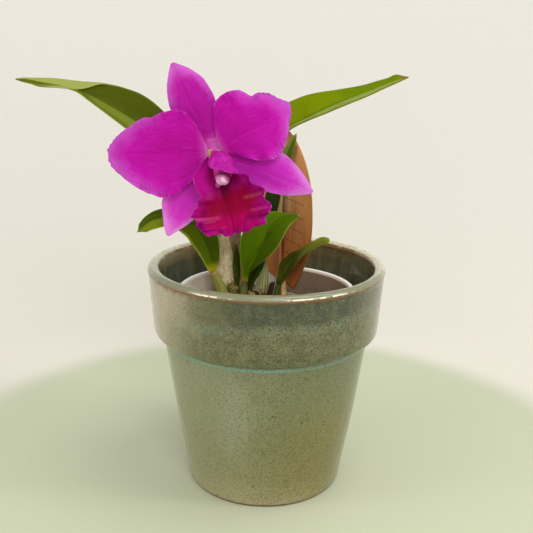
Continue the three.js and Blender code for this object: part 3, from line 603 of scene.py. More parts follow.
def glaze_paint():
    p = Paint("sage_glaze", Coat_Weight=0.4, Coat_Roughness=0.05, Specular_IOR_Level=0.35)
    height = p.axes[2]
    broad = p.noise(30, 3, 0.6)
    drift = (broad - 0.5) * 30
    runs = p.noise(7, 4, 0.6, p.stretched(z=0.17))
    ragged = (p.noise(4, 4, 0.65) - 0.5) * 2.6
    on_collar = p.remap(height, COLLAR_FOOT - 0.2, COLLAR_FOOT + 1)
    p.colour = p.mix(on_collar, glaze_body(p, drift), glaze_collar(p, drift, broad))
    grain = glaze_grain(p, drift, broad, runs, on_collar)
    glaze_rim(p, broad, ragged)
    glaze_inside(p, runs)
    # the foot is bare
    foot = p.remap(height + ragged * 0.4, 2.0, 1.0)
    p.coat(foot, p.mix(p.noise(2), "5b4128", "7d5f40"))
    roughness = p.remap(p.noise(5, 3), 0.3, 0.7, 0.14, 0.26)
    roughness = p.larger(roughness, foot * 0.8)
    pits = p.remap(p.cells(2.3), 0.18, 0.02)
    return p.finish(roughness, grain * 0.5 - pits * 0.5, 0.1)


def nursery_paint():
    """Pale plastic, with painted shade that turns it taupe towards the right, a white rim band of painted
    light, and painted shade with a brown reflection of the bark low on its inner wall.
    """
    p = Paint("taupe_plastic", Specular_IOR_Level=0.4)
    x, _, height = p.axes
    film = p.noise(9, 4, 0.6, p.stretched(z=0.32))
    p.colour = p.mix(p.remap(p.noise(26, 2), 0.35, 0.65), "eceade", "dcd8ca")
    # painted shade: the plastic turns taupe towards the right, where its wall faces away from the light
    p.coat(p.remap(x + film * 20, 0, 26, 0, 0.85), "74624e")
    p.coat(p.remap(film, 0.5, 0.75, 0, 0.35), "86786a")
    # painted light: the rim band is whitened where it catches the light
    p.coat(p.remap(height, 125.2, 126.2), "fcfefa")
    # painted shade and a painted brown reflection of the bark, low on the inner wall just above the bark
    shade_above_bark = p.remap(height, 119, 108) * p.remap(p.noise(4, 4), 0.4, 0.65, 0.15, 0.7)
    p.coat(shade_above_bark, "5a4736")
    scratches = p.noise(1.2, 2, 0.6, p.stretched(z=0.09))
    roughness = p.remap(scratches, 0.3, 0.7, 0.35, 0.55)
    return p.finish(roughness, scratches, 0.04)


BARK_TONES = [(0.0, "2e1c12"), (0.3, "4f3220"), (0.55, "6b4529"), (0.8, "85603c"), (1.0, "a88a62")]


def bark_paint():
    """Fibrous bark. Its tags are a tint and how dusty it is."""
    p = Paint("orchid_bark", Specular_IOR_Level=0.25)
    fibre = p.noise(1.3, 5, 0.65, p.stretched(1, 0.38, 0.7))
    p.colour = p.ramp(p.tags[0], BARK_TONES)
    p.coat(p.remap(fibre, 0.35, 0.7), p.mix(0.55, p.colour, "2a1a10"))
    dust = p.remap(p.noise(2.4, 3), 0.56, 0.7) * p.tags[1]
    p.coat(dust, "b5a283")
    return p.finish(p.remap(fibre, 0.2, 0.8, 0.78, 0.98), fibre, 0.5)


def rhizome_paint():
    """Scaly wood, roots and a mossy stub, told apart by the third tag: 0, 1 and 2."""
    p = Paint("rhizome_and_roots", Specular_IOR_Level=0.35)
    part = p.tags[2]
    grain = p.noise(1.6, 4, 0.6)
    wood = p.mix(p.remap(grain, 0.35, 0.65), "4c4a24", "7d7440")
    scale = p.remap(p.noise(4.5, 3), 0.48, 0.62)
    wood = p.mix(scale * 0.7, wood, "a0906a")
    root = p.mix(p.remap(p.noise(3, 3), 0.4, 0.65), "8e8468", "5c5638")
    moss = p.mix(p.remap(p.noise(0.9, 3), 0.4, 0.65), "4c4c14", "8c8438")
    moss = p.mix(p.remap(p.noise(3, 2), 0.5, 0.62), moss, "6c4c28")
    p.colour = p.mix(p.remap(part, 0.5, 1.0), wood, root)
    p.coat(p.remap(part, 1.5, 2.0), moss)
    return p.finish(p.remap(grain, 0.3, 0.7, 0.55, 0.85), grain, 0.35)


def dry_paint(name, pale, mid, dark, spots=None):
    """Papery skin with fibres along the bulb."""
    p = Paint(name, Specular_IOR_Level=0.3, Sheen_Weight=0.1)
    fibres = p.noise(0.05, 4, 0.6, p.combine(p.tags[1] * 1.5, p.tags[0] * 0.16))
    blotch = p.noise(5, 4, 0.6)
    p.colour = p.ramp(fibres * 0.55 + blotch * 0.45, [(0.34, dark), (0.48, mid), (0.62, pale)])
    p.coat(p.remap(p.noise(2.2, 3), 0.6, 0.7) * 0.5, dark)
    if spots:
        p.coat(p.remap(p.noise(1.8, 2), 0.58, 0.68) * 0.8, spots)
    return p.finish(p.remap(fibres, 0.3, 0.7, 0.6, 0.85), fibres, 0.25)


def bulb_paint(name, light, dark, crown, stripes):
    """Green bulb with ridges along it and a crown of another colour."""
    p = Paint(name, Specular_IOR_Level=0.45)
    t, turn, _ = p.tags
    p.colour = p.mix(p.lines(turn + p.noise(6, 2) * 0.06, stripes, 1.5), dark, light)
    fine = p.noise(0.03, 4, 0.6, p.combine(turn * 1.5, t * 0.14))
    p.coat(p.remap(fine, 0.45, 0.7, 0, 0.45), light)
    p.coat(p.remap(t, 0.84, 0.97), crown)
    p.coat(p.remap(p.noise(1.4, 3), 0.6, 0.7) * 0.5, "6a5a30")
    return p.finish(p.remap(fine, 0.3, 0.7, 0.4, 0.6), fine, 0.15)


def leaf_paint(name, tones, bands=(), seam=(0.0, 0.0)):
    """Leathery leaf: a tone for each half, lit and shaded as painted light and shade of the fold, a yellowish
    foot, and lighter or darker bands along it.
    """
    p = Paint(name, Specular_IOR_Level=0.03)
    left, right, petiole, margin, back, tip = tones
    t, u, side = p.tags
    fold = u - (t * seam[1] + seam[0])
    # painted light and shade: the two halves are one tissue, and their tones differ as the fold turns one
    # towards the light and one away
    p.colour = p.mix(p.remap(fold, -0.05, 0.05), left, right)
    veins = p.noise(0.035, 3, 0.6, p.combine(u, t * 0.06))
    cloud = p.noise(11, 3, 0.6)
    place = u + (cloud - 0.5) * 0.06
    for starts, ends, low, high, tone, share, soft in bands:
        reach = p.band(t, starts - 0.06, starts + 0.04, ends - 0.06, ends + 0.04)
        across = p.band(place, low - soft, low + soft, high - soft, high + soft)
        p.coat(reach * across * share, tone)
    p.coat(p.remap(veins, 0.4, 0.7, 0, 0.22), p.mix(0.35, p.colour, margin))
    p.coat(p.remap(cloud, 0.42, 0.7, 0, 0.25), p.mix(0.5, p.colour, "2a3802"))
    rib = p.remap(abs(fold), 0.05, 0.01)
    p.coat(rib * 0.5, "2e3c02")
    p.coat(p.remap(abs(u), 0.94, 0.995, 0, 0.7), margin)
    foot = p.remap(t + cloud * 0.05, 0.12, 0.03)
    p.coat(foot, petiole)
    p.coat(p.remap(t, 0.95, 0.995), tip)
    specks = p.remap(p.noise(1.1, 2), 0.66, 0.74) * 0.3
    p.coat(specks, "6b6a14")
    p.coat(p.remap(side, -0.2, -0.8), back)
    return p.finish(p.remap(cloud, 0.3, 0.7, 0.42, 0.55), veins * 0.6 + p.noise(0.8, 2) * 0.4, 0.05)


def petal_paint(name, inner, middle, outer):
    """Soft petal: deeper in its middle, paler along its edge and whitish at its foot."""
    p = Paint(name, Specular_IOR_Level=0.05, Subsurface_Weight=0.06, Subsurface_Scale=0.001,
              Subsurface_Radius=(1.0, 0.1, 0.7))
    t, u, side = p.tags
    width = abs(u)
    cloud = p.noise(12, 3, 0.6)
    reach = width**1.8 * p.remap(t, 0.1, 0.55, 0.05, 0.5) + t**3 * 0.85 + (cloud - 0.5) * 0.5
    p.colour = p.ramp(reach, [(0.0, inner), (0.35, middle), (0.8, outer), (1.0, outer)])
    p.coat(p.remap(p.noise(8, 4, 0.65), 0.5, 0.7, 0, 0.4), inner)
    wobble = p.noise(9, 3) * 0.16
    fan = p.combine(u + wobble, t * 0.12)
    veins = p.noise(0.055, 3, 0.6, fan)
    fine = p.noise(0.018, 2, 0.6, fan)
    inward = p.remap(t, 0.95, 0.5, 0.35, 1.0)
    p.coat(p.remap(veins, 0.48, 0.68, 0, 0.5) * inward, inner)
    p.coat(p.remap(fine, 0.52, 0.7, 0, 0.2), outer)
    midline = p.remap(width, 0.09, 0.0) * p.remap(t, 0.85, 0.3)
    p.coat(midline * 0.45, inner)
    base = t + veins * 0.1
    p.coat(p.remap(base, 0.2, 0.05, 0, 0.55), "c454ac")
    p.coat(p.remap(base, 0.1, 0.045, 0, 0.6), "cc80ba")
    rim = p.remap(width, 0.94, 1.0) * p.remap(p.noise(2.5, 3), 0.45, 0.62, 0.0, 0.22)
    p.coat(rim, "d98ad8")
    p.coat(p.remap(side, -0.2, -0.8, 0, 0.5), "c560bc")
    height = veins * -0.5 + p.noise(0.5, 2, 0.5) * 0.25
    return p.finish(p.remap(fine, 0.3, 0.7, 0.5, 0.65), height, 0.06)


def lip_paint():
    """Velvety lip: crimson with a dark throat, magenta towards its frilled edge and on its side lobes."""
    p = Paint("velvet_lip", Specular_IOR_Level=0.04)
    t, u, side = p.tags
    width = abs(u)
    cloud = p.noise(5, 3, 0.6)
    wobble = (p.noise(7, 3) - 0.5) * 0.16
    depth = t + wobble
    front = p.remap(depth, 0.4, 0.54)
    ear = p.mix(p.remap(width + wobble, 0.2, 0.8), "900858", "b61490")
    crimson = p.mix(p.remap(depth, 0.64, 0.8), "860030", "a80258")
    p.colour = p.mix(front, ear, crimson)
    frayed = p.larger(width, p.remap(t, 0.6, 1.0, 0, 0.95, kind="LINEAR")) + (cloud - 0.5) * 0.5
    p.coat(p.remap(frayed, 0.5, 0.98, 0, 0.9), "a60e80")
    fan = p.combine(u + wobble, t * 0.14)
    veins = p.noise(0.07, 3, 0.65, fan)
    p.coat(p.remap(veins, 0.5, 0.7, 0, 0.34), p.mix(front, "7c0546", "74022c"))
    shade = p.remap(p.noise(6.5, 2), 0.5, 0.66) * p.remap(width, 0.4, 0.75)
    p.coat(shade * front * 0.6, "6a004e")
    throat = p.band(depth, 0.1, 0.3, 0.42, 0.62) * p.remap(abs(u + 0.01), 0.22, 0.06)
    p.coat(throat * 0.8, "44001a")
    groove = p.remap(abs(u + 0.02), 0.05, 0.01) * p.remap(t, 0.45, 0.55)
    p.coat(groove * 0.45, "6a0230")
    bow = (u - 0.6)**2 * 0.9
    ridges = p.lines(t + bow, 36, 2) * p.band(u, 0.4, 0.5, 0.7, 0.8) * p.band(t, 0.39, 0.43, 0.47, 0.51)
    p.coat(ridges * 0.16, "c458b4")
    for sign, low, first, high, last, wide, tone, share in STREAKS:
        reach = u * sign
        middle = p.remap(reach, low, high, first, last, kind="LINEAR")
        line = t - middle + wobble * 0.06
        mark = p.remap(abs(line), wide, wide * 0.2) * p.band(reach, low, low + 0.12, high - 0.1, high)
        mark *= p.remap(veins, 0.3, 0.6, 0.5, 1.0)
        p.coat(mark * share, tone)
    edge = p.remap(width, 0.95, 1.0) * p.remap(p.noise(2, 2), 0.45, 0.6)
    p.coat(edge * 0.45, "d060c8")
    outer = p.mix(p.remap(p.noise(4, 3), 0.4, 0.65), "98107e", "a82494")
    outer = p.mix(p.remap(veins, 0.52, 0.68, 0, 0.4), outer, "8c0a70")
    outer = p.mix(p.remap(t, 0.07, 0.03), outer, "b8a060")
    p.coat(p.remap(side, -0.2, -0.8), outer)
    height = veins * -0.8 + p.noise(0.5, 2, 0.5) * 0.3
    return p.finish(p.remap(cloud, 0.3, 0.7, 0.45, 0.6), height, 0.1)


def waxy_paint(name, light, dark, spot_share=0.3, second=None):
    """Waxy column. A second colour goes over its foot and over all that has 1 for its third tag."""
    p = Paint(name, Subsurface_Weight=0.15, Subsurface_Scale=0.002, Specular_IOR_Level=0.5)
    cloud = p.noise(3, 3, 0.6)
    p.colour = p.mix(p.remap(cloud, 0.35, 0.65), light, dark)
    spots = p.remap(p.noise(0.9, 2), 0.58, 0.68) * spot_share
    p.coat(spots, dark)
    if second:
        p.coat(p.remap(p.tags[0], 0.86, 0.5, 0, 0.85), second)
        for tone in (second, "701860"):
            p.coat(p.tags[2] * 0.7, tone)
    return p.finish(p.remap(cloud, 0.3, 0.7, 0.35, 0.5), cloud, 0.08)


def stem_paint():
    """Green stem that turns lilac near the flower and ends in the magenta hub of the tepals."""
    p = Paint("green_stem", Specular_IOR_Level=0.3)
    _, y, height = p.axes
    fine = p.noise(0.06, 3, 0.6, p.combine(p.tags[1], p.tags[0] * 0.3))
    p.colour = p.mix(p.remap(fine, 0.35, 0.65), "7d8a3c", "a3ab62")
    p.coat(p.remap(y, -12, -24), p.mix(p.noise(3), "b58fb0", "b7b08a"))
    hub = p.mix(p.remap(p.noise(4, 2), 0.4, 0.6), "b0309a", "bc50a6")
    hub = p.mix(p.remap(height + p.noise(2, 2), 220.4, 219.4), hub, "b4a050")
    p.coat(p.remap(y, -27, -29), hub)
    return p.finish(p.remap(fine, 0.3, 0.7, 0.4, 0.55), fine, 0.1)


def wood_paint(name, light, mid, dark, grain_size):
    """Wood with upright grain: the paint and its grain."""
    p = Paint(name, Specular_IOR_Level=0.3)
    grain = p.noise(grain_size, 5, 0.6, p.stretched(z=0.06), 0.6)
    broad = p.noise(14, 2, 0.5, p.stretched(z=0.2), 0.4)
    p.colour = p.ramp(grain * 0.6 + broad * 0.4, [(0.34, dark), (0.48, mid), (0.64, light)])
    pores = p.remap(p.noise(0.5, 2, 0.5, p.stretched(z=0.05)), 0.6, 0.7) * 0.4
    p.coat(pores, dark)
    return p, grain


def finished_wood(p, grain):
    return p.finish(p.remap(grain, 0.3, 0.7, 0.55, 0.75), grain, 0.12)


def stake_paint():
    """Split wood, darkened to reddish brown by painted shade where it stands behind the leaves, with a crack
    along it.
    """
    p, grain = wood_paint("split_wood", "fff0c8", "f6d49c", "d4a468", 0.9)
    _, u, _ = p.tags
    # painted shade: reddish brown where the stake stands behind the leaves
    shade_behind_leaves = p.band(p.axes[2], 128, 132, 164, 172)
    p.coat(shade_behind_leaves * 0.85, "b06a34")
    crack = p.remap(abs(u - 0.25), 0.14, 0.04)
    p.coat(crack * 0.4, "7c5030")
    return finished_wood(p, grain)


LINE_SPACING = 9.0
RULED_FROM, RULED_TO = 131, 187


def board_paint():
    """Brown wood with faint ruled lines, which are plain and stand for no words, painted light beside the
    stake and painted shade along its edge.
    """
    p, grain = wood_paint("label_wood", "d89450", "c07e3e", "94582a", 1.6)
    _, u, side = p.tags
    height = p.axes[2]
    front = p.remap(side, 0.1, 0.6)
    p.coat(p.remap(height, 168, 145, 0, 0.6), "c4682c")
    p.coat(p.remap(height, 165, 205, 0, 0.6), "f0b468")
    # painted light: a pale band on the front beside the stake, high on the board, that makes up for the shade
    # of the stake and leaves
    light_near_stake = p.band(u, 0.02, 0.12, 0.24, 0.42) * front
    p.coat(light_near_stake * p.remap(height, 165, 178, 0, 0.6), "ffdca8")
    # painted shade: the board's edge is darkened so that it does not show lit
    p.coat(p.remap(abs(u), 0.965, 0.995, 0, 0.7), "7c4c28")
    row = p.math("FRACT", (height - RULED_FROM - 2) / LINE_SPACING)
    line = p.remap(abs(row - 0.5), 0.075, 0.03)
    inside = p.band(height, RULED_FROM, RULED_FROM + 1, RULED_TO - 1, RULED_TO)
    inside *= p.band(u, 0.16, 0.2, 0.76, 0.8)
    ink = line * inside * p.remap(p.noise(3, 2), 0.3, 0.6, 0.25, 0.6)
    p.coat(ink * front, "5a3c24")
    return finished_wood(p, grain)


# ---------------------------------------------------------------- pieces


def mesh_object(name, points, faces):
    """A mesh object from points in millimetres."""
    mesh = bpy.data.meshes.new(name)
    mesh.from_pydata((points * MM).tolist(), [], faces)
    made = bpy.data.objects.new(name, mesh)
    bpy.context.scene.collection.objects.link(made)
    return made


def smooth(mesh, sharpest):
    """Smooth shading, apart from edges that turn by more than that many degrees."""
    mesh.shade_smooth()
    mesh.set_sharp_from_angle(angle=math.radians(sharpest))


def piece(name, form, material, nodes=()):
    """A piece of the plant or its pots, riding on the one body."""
    made = mesh_object(name, form.points, form.faces)
    made.data.attributes.new("tags", "FLOAT_VECTOR", "POINT").data.foreach_set("vector", form.tags.ravel())
    made.data.materials.append(material)
    smooth(made.data, 50)
    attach(made, "root")
    if nodes:
        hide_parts(*nodes)
    return made


# ---------------------------------------------------------------- pots

# rows of radius, height and rounding
COVER_PROFILE = [
    [0, 1.6, 0], [40, 1.6, 0.8], [42, 0, 1], [49.4, 0, 0.7], [50.3, 2.2, 1.5], [58.05, 48.8, 20],
    [65.1, 95.2, 3], [65.7, 99.6, 1.6], [68.9, 100.7, 1.8], [71.3, 102.8, 1.8], [71.9, 107, 3],
    [74.2, 138.4, 3], [74.5, 140.6, 1.2], [75.1, 142.2, 0.9], [74.4, 144.6, 1.6], [72.4, 145.5, 1.4],
    [70.3, 145.3, 1.4], [67.7, 143.8, 1.6], [67.2, 140.6, 3], [66, 130.4, 4], [59.4, 98, 14],
    [43.8, 11.6, 5], [40.6, 8.6, 2], [0, 8.6, 0],
]


def cover_pot():
    def relief(radius, height, turn):
        ring = polar(radius, turn, height)
        throwing = 0.1 * np.sin(height * 1.15 + 1.2 * np.sin(TAU * turn)) * lumps(ring * [0.2, 0.2, 1], 16, 3)
        standing = fade(0, 4, height) * fade(8.6, 11, np.where(radius < 66, height, 20))
        return standing * (0.35 * lumps(ring, 46, 5) + throwing + 0.07 * lumps(ring, 6, 8, 2))

    form = lathe(rounded(COVER_PROFILE, 1.9), 200, relief)
    piece("cover_pot", form, glaze_paint(), ["ceramic_pot"])


NURSERY_FOOT, NURSERY_TOP = 9.0, 127.5


def nursery_radius(height):
    """Radius of the nursery pot's outer wall at that height."""
    return 40.5 + 14.9 * (height - NURSERY_FOOT) / (NURSERY_TOP - NURSERY_FOOT)


def drain_holes():
    """A cutter for the six drain holes of the nursery pot."""
    drills = [tube([[x, y, 6, 4], [x, y, 14, 4]], 4, 28, (1, 0, 0), ends=(0.001, 0.001))
              for x, y, _ in polar(26, (np.arange(6) + 0.5) / 6, 0)]
    drill = join(drills)
    return mesh_object("drill", drill.points, drill.faces)


def nursery_pot():
    top = NURSERY_TOP
    band = top - 6
    profile = [[0, 10, 0], [36, 10, 0.6], [38, 9, 0.6], [40.5, 9, 0.7], [nursery_radius(band), band, 0.4],
               [nursery_radius(band) + 1.2, band + 0.1, 0.4], [56.6, top - 0.2, 0.5], [55.9, top, 0.5],
               [54.3, top - 0.1, 0.5], [54.0, top - 1.6, 0.5], [nursery_radius(11) - 1.3, 11, 0.6],
               [0, 11, 0]]

    def relief(radius, height, turn):
        ribs = 0.25 * np.maximum(np.cos(TAU * 12 * turn), 0) ** 8 * (radius > 38)
        ribs = ribs * fade(14, 20, height) * fade(118, 112, height)
        return 0.12 * np.sin(TAU * (2 * turn + 0.1)) * fade(60, 120, height) + ribs

    form = lathe(rounded(profile, 3.0), 128, relief)
    made = piece("nursery_pot_fine", form, nursery_paint(), ["nursery_pot"])
    cutter = drain_holes()
    cut = made.modifiers.new("holes", "BOOLEAN")
    cut.operation, cut.solver, cut.object = "DIFFERENCE", "EXACT", cutter
    bpy.context.view_layer.update()
    made.data = bpy.data.meshes.new_from_object(made.evaluated_get(bpy.context.evaluated_depsgraph_get()))
    made.modifiers.clear()
    smooth(made.data, 40)
    bpy.data.objects.remove(cutter)


# ---------------------------------------------------------------- what stands in the bark

# height where the bulbs and small leaves start, just under the bark's surface
FOOT = 113.4
# stations of x, y, z and radius
BULBS = {
    "pseudobulb_1": [
        [-21.6, 10, FOOT, 4.9], [-23.6, 9.6, 126, 5.8], [-26.2, 9, 138, 6.1], [-28, 8.4, 151, 4.5],
        [-30, 7.6, 167, 3], [-31.3, 7, 184.6, 3.4],
    ],
    "pseudobulb_2": [
        [-19.9, 20, FOOT, 3.4], [-19.9, 20.3, 127, 4.2], [-20.6, 21, 142, 4.3], [-21.4, 22, 160, 4],
        [-22.3, 22.9, 180.2, 3.1],
    ],
    "pseudobulb_3": [
        [-2.9, 22, FOOT, 3.9], [-2.9, 22, 119, 4.5], [-2.5, 22, 124, 4.2], [-1.8, 22, 129, 3.2],
        [-1, 22, 134, 2], [-0.9, 22, 140.9, 1.2],
    ],
    "pseudobulb_4": [
        [-25.2, -7, FOOT + 0.3, 3.2], [-26.2, -7, 121, 3.7], [-29.2, -7.2, 130, 3.4],
        [-33.8, -8, 140.9, 2.6],
    ],
    "pseudobulb_5": [
        [-15, -2, FOOT, 2.4], [-15, -2, 119, 2.8], [-14.7, -2, 125, 2.7], [-14.1, -2, 132.7, 2.1],
    ],
    "new_shoot": [[7, 12, FOOT, 2.1], [7.2, 12, 117, 2.5], [7.5, 12, 121, 2.4], [7.9, 12, 126.7, 2]],
}
# height of the rhizome's runs
RUN = 109.4


def level_run(places):
    """Stations of the rhizome at its usual height and thickness."""
    return [[x, y, RUN, 3] for x, y in places]


RHIZOME_RUNS = [
    [[-36, 17, 108.4, 2.4], *level_run([(-28, 13), (-21.6, 10), (-12, 8.5), (-3, 10), (7.2, 12)])],
    level_run([(-21.6, 10), (-20.5, 15), (-19.9, 20), (-12, 22.5), (-3, 22)]),
    level_run([(-20, 9.5), (-22, 2), (-24, -3), (-25.4, -7)]),
    level_run([(-15, 8), (-15.5, 3), (-15, -2.4)]),
    level_run([(-12, 9), (-12.6, 11.5), (-13, 14.4)]),
]
STUB = [[-21.2, -1.5, RUN, 2.6], [-21.3, -1.5, 117, 3], [-21.8, -1.3, 125, 3.4], [-22.4, -1.1, 131, 2.4]]
ROOTS = [
    [
        [-30, 13, 110, 1.3], [-38, 9, 114, 1.3], [-44, 1, 113.6, 1.2], [-46, -9, 110, 1.1],
        [-46, -15, 101, 0.9],
    ],
    [
        [-24, -6, 110, 1.3], [-23, -15, 114, 1.3], [-16, -24, 114, 1.2], [-6, -30, 111, 1.1],
        [0, -33, 102, 0.9],
    ],
    [[5, 12, 110, 1.3], [14, 5, 114, 1.3], [23, -2, 114, 1.2], [31, -10, 111.5, 1.1], [35, -17, 102, 0.9]],
    [[-6, 22, 110, 1.3], [4, 30, 113.6, 1.3], [15, 33, 113.2, 1.2], [26, 31, 110, 1.1], [33, 27, 101, 0.9]],
]


def furrows(count, depth, seed, waist=0.0):
    """Relief of a shrivelled bulb: furrows along it that wander, and rings where its sheaths sat."""
    def relief(t, turn):
        bend = 0.06 * wander(t * 3, turn * 0 + seed, 1, seed)
        groove = np.abs(np.sin(TAU * (count / 2) * (turn + bend) + seed))
        uneven = 0.5 + 0.5 * wander(np.cos(TAU * turn) * 2, np.sin(TAU * turn) * 2 + t * 5, 1, seed + 3)
        rings = waist * peak((t * 5) % 1, 0.5, 0.05)
        return depth * (groove - 0.7) * (0.6 + uneven) - rings
    return relief


def moss_threads():
    """Short threads of moss that stand out all round the stub."""
    random = np.random.default_rng(11)
    threads = []
    for _ in range(90):
        t, turn = random.uniform(0.25, 1), random.uniform(0, TAU)
        *foot, radius = along(STUB, t)
        out = np.array([math.cos(turn), math.sin(turn), random.uniform(-0.2, 0.8)])
        start = foot + out * radius * 0.8
        tip = start + unit(out) * random.uniform(0.9, 1.9)
        middle = (start + tip) / 2 + [0, 0, 0.15]
        thread = [[*start, 0.28], [*middle, 0.2], [*tip, 0.08]]
        threads.append(tube(thread, 3, 5, (0.3, 0.2, 1), None, (0.05, 0.05), 2))
    return threads


def rhizome():
    def scaly(t, turn):
        node = (t * 6) % 1
        scales = 0.35 * fade(0.0, 0.7, node) * fade(1.0, 0.85, node)
        return scales - 0.1 + 0.15 * wander(t * 30, turn * 8, 1, 4, 2)

    def rooty(t, turn):
        return 0.12 * wander(t * 24, turn * 4, 1, 9, 2)

    def mossy(t, turn):
        return 0.55 * wander(t * 9, turn * 9, 1, 21, 3) + 0.2

    up = (0, 0, 1)
    forms = [tube(run, 54, 24, up, scaly, (0.06, 0.06), 0) for run in RHIZOME_RUNS]
    forms += [tube(root, 60, 12, up, rooty, (0.02, 0.02), 1) for root in ROOTS]
    forms += [tube(STUB, 60, 40, (0, 1, 0), mossy, (0.05, 0.2), 2), *moss_threads()]
    piece("rhizome_and_roots", join(forms), rhizome_paint(), ["rhizome"])


def skin(bulb, part, sides, grow, seed, tear):
    """A papery sheath wrapped round a stretch of a bulb, open on one side and ragged at its top."""
    stations = np.array(BULBS[bulb], float)
    rows = np.linspace(*part, 7)
    radius = along(stations[:, 3], rows) + grow
    middle_turn = math.radians(sum(sides) / 2)
    sweep = sides[1] - sides[0]
    face = -np.array([math.cos(middle_turn), math.sin(middle_turn), 0])
    axis = heading(stations[:, :3], rows)
    out = unit(-face + axis * (axis @ face)[:, None])
    half = radius * math.radians(sweep) / 2
    points = along(stations[:, :3], rows) + out * radius[:, None]

    def outline(t, side):
        return 1 - 0.1 * (1 + wander(t * 7, t * 0 + side * 3, 1, seed, 2)) - 0.6 * fade(0.8, 1.0, t) ** 2

    def relief(t, u):
        crease = 0.3 * wander(t * 3, u * 5, 1, seed + 1, 2)
        torn = fade(0.6, 1, np.abs(u)) * (1 + wander(t * 5, u * 2, 1, seed + 2))
        return crease - tear * radius.mean() * torn

    shape = {"stations": np.column_stack([points, half, half]), "face": [face], "wrap": [sweep],
             "outline": outline, "relief": relief}
    return sheet(shape, 44, 30, 0.3)


# for each bulb: its piece, paint, furrows, steps along it and round it, and how long its rounded ends are
BULB_FORMS = {
    "pseudobulb_1": ("papery_bulb", "papery", (12, 0.75, 1, 0.15), 120, 72, (0.03, 0.04)),
    "pseudobulb_2": ("weathered_bulb", "old", (8, 0.7, 2, 0.2), 120, 64, (0.03, 0.04)),
    "pseudobulb_3": ("striped_pseudobulb", "striped", (12, 0.35, 3), 80, 64, (0.04, 0.05)),
    "pseudobulb_4": ("green_pseudobulb_left", "green", (8, 0.14, 4, 0.1), 80, 56, (0.04, 0.06)),
    "pseudobulb_5": ("green_pseudobulb_front", "front", (8, 0.12, 5, 0.08), 70, 56, (0.05, 0.06)),
    "new_shoot": ("young_shoot", "shoot", (5, 0.12, 6), 60, 48, (0.06, 0.08)),
}
# for each bulb with torn skins: their piece, paint, then for each skin the stretch of the bulb, the turn
# that it covers in degrees, how far it stands off, seed, and how much it tears
SKINS = {
    "pseudobulb_1": ("papery_flaps", "papery", [
        ((0.02, 0.52), (150, 330), 0.55, 5, 0.1), ((0.3, 0.86), (190, 400), 0.6, 8, 0.08),
        ((0.0, 0.26), (240, 430), 0.95, 12, 0.2), ((0.14, 0.36), (290, 410), 1.3, 41, 0.35),
    ]),
    "pseudobulb_2": ("weathered_shreds", "old", [
        ((0.1, 0.6), (200, 330), 0.5, 15, 0.15), ((0.5, 0.95), (150, 260), 0.45, 18, 0.15),
    ]),
    "pseudobulb_3": ("striped_wrap", "thin", [((0.0, 0.36), (170, 270), 0.6, 22, 0.15)]),
}
HUSK = {
    "stations": [
        [11.7, 13.4, 113, 1.5, 1.5], [11.7, 13.4, 118.5, 1.6, 1.6], [11.6, 13.3, 124, 1.7, 1.6],
        [11.5, 13.1, 129, 0.8, 0.8],
    ],
    "face": [[-0.1, -1, 0.1]],
    "wrap": [80],
    "relief": lambda t, u: 0.15 * wander(t * 4, u * 3, 1, 31, 2),
}


def bulbs():
    paints = {
        "papery": dry_paint("papery_skin", "f6eac8", "ccbc90", "66562f"),
        "old": dry_paint("old_skin", "b8a880", "84764a", "4c4024", spots="cc9a92"),
        "thin": dry_paint("thin_wrap", "d8c8a0", "b09c70", "6e5c34"),
        "striped": bulb_paint("striped_bulb", "c0c08c", "788038", "98a050", 13),
        "green": bulb_paint("green_pseudobulb", "8a8a3c", "7a7c30", "8c7438", 9),
        "front": bulb_paint("front_bulb", "6e7430", "525a1a", "54461c", 9),
        "shoot": bulb_paint("shoot", "66751f", "35420c", "3f4c12", 5),
    }
    for node, (name, paint, folds, steps, sides, ends) in BULB_FORMS.items():
        form = tube(BULBS[node], steps, sides, relief=furrows(*folds), ends=ends)
        piece(name, form, paints[paint], [node])
        if node in SKINS:
            name, paint, parts = SKINS[node]
            piece(name, join([skin(node, *part) for part in parts]), paints[paint])
    cream = dry_paint("cream_husk", "ffe4b8", "f6c890", "c89050")
    piece("shoot_husk", sheet(HUSK, 40, 24, 0.4), cream)


# ---------------------------------------------------------------- bark

# where the stake and two small leaves stand in the bark
THIN_FEET = [
    [[8.2, 25, 100, 3.2], [8.2, 25, 125, 3.2]], [[-12.8, 14.2, 106, 2], [-12.2, 14.2, 122, 3]],
    [[-18.8, 3.4, 106, 2], [-18.9, 3.2, 124, 2.6]],
]
# layers of chips: how many, size, height of their middles, and how far from the axis they reach
BARK_LAYERS = [
    (150, (15, 10, 4.6), 104.5, 46), (170, (13, 8.5, 4), 107.2, 45), (130, (8, 5.5, 3), 108.6, 46),
    (170, (4.2, 3, 1.8), 108.8, 47),
]
GOLDEN_TURN = 2.39996


def obstacles():
    """Points and radii along all that stands in the bark."""
    lines = [*BULBS.values(), *RHIZOME_RUNS, STUB, *ROOTS, *THIN_FEET]
    rows = np.concatenate([along(line, np.linspace(0, 1, 24)) for line in lines])
    return rows[rows[:, 2] < 124]


def bark_wall(height):
    """How far the bark reaches inside the nursery pot."""
    return nursery_radius(height) - 1.9


def bark_fill():
    """The bark below the loose chips."""
    floor, top = 11.4, 104

    def relief(radius, height, turn):
        return 1.3 * fade(98, 103, height) * lumps(polar(radius, turn, height), 5, 40, 3) - 0.2

    profile = [[0, floor, 0], [bark_wall(floor), floor, 1], [bark_wall(top), top, 1], [0, top + 0.5, 0]]
    fill = lathe(rounded(profile, 2.0), 120, relief)
    fill.tags[:] = [0.15, 0.3, 0]
    return fill


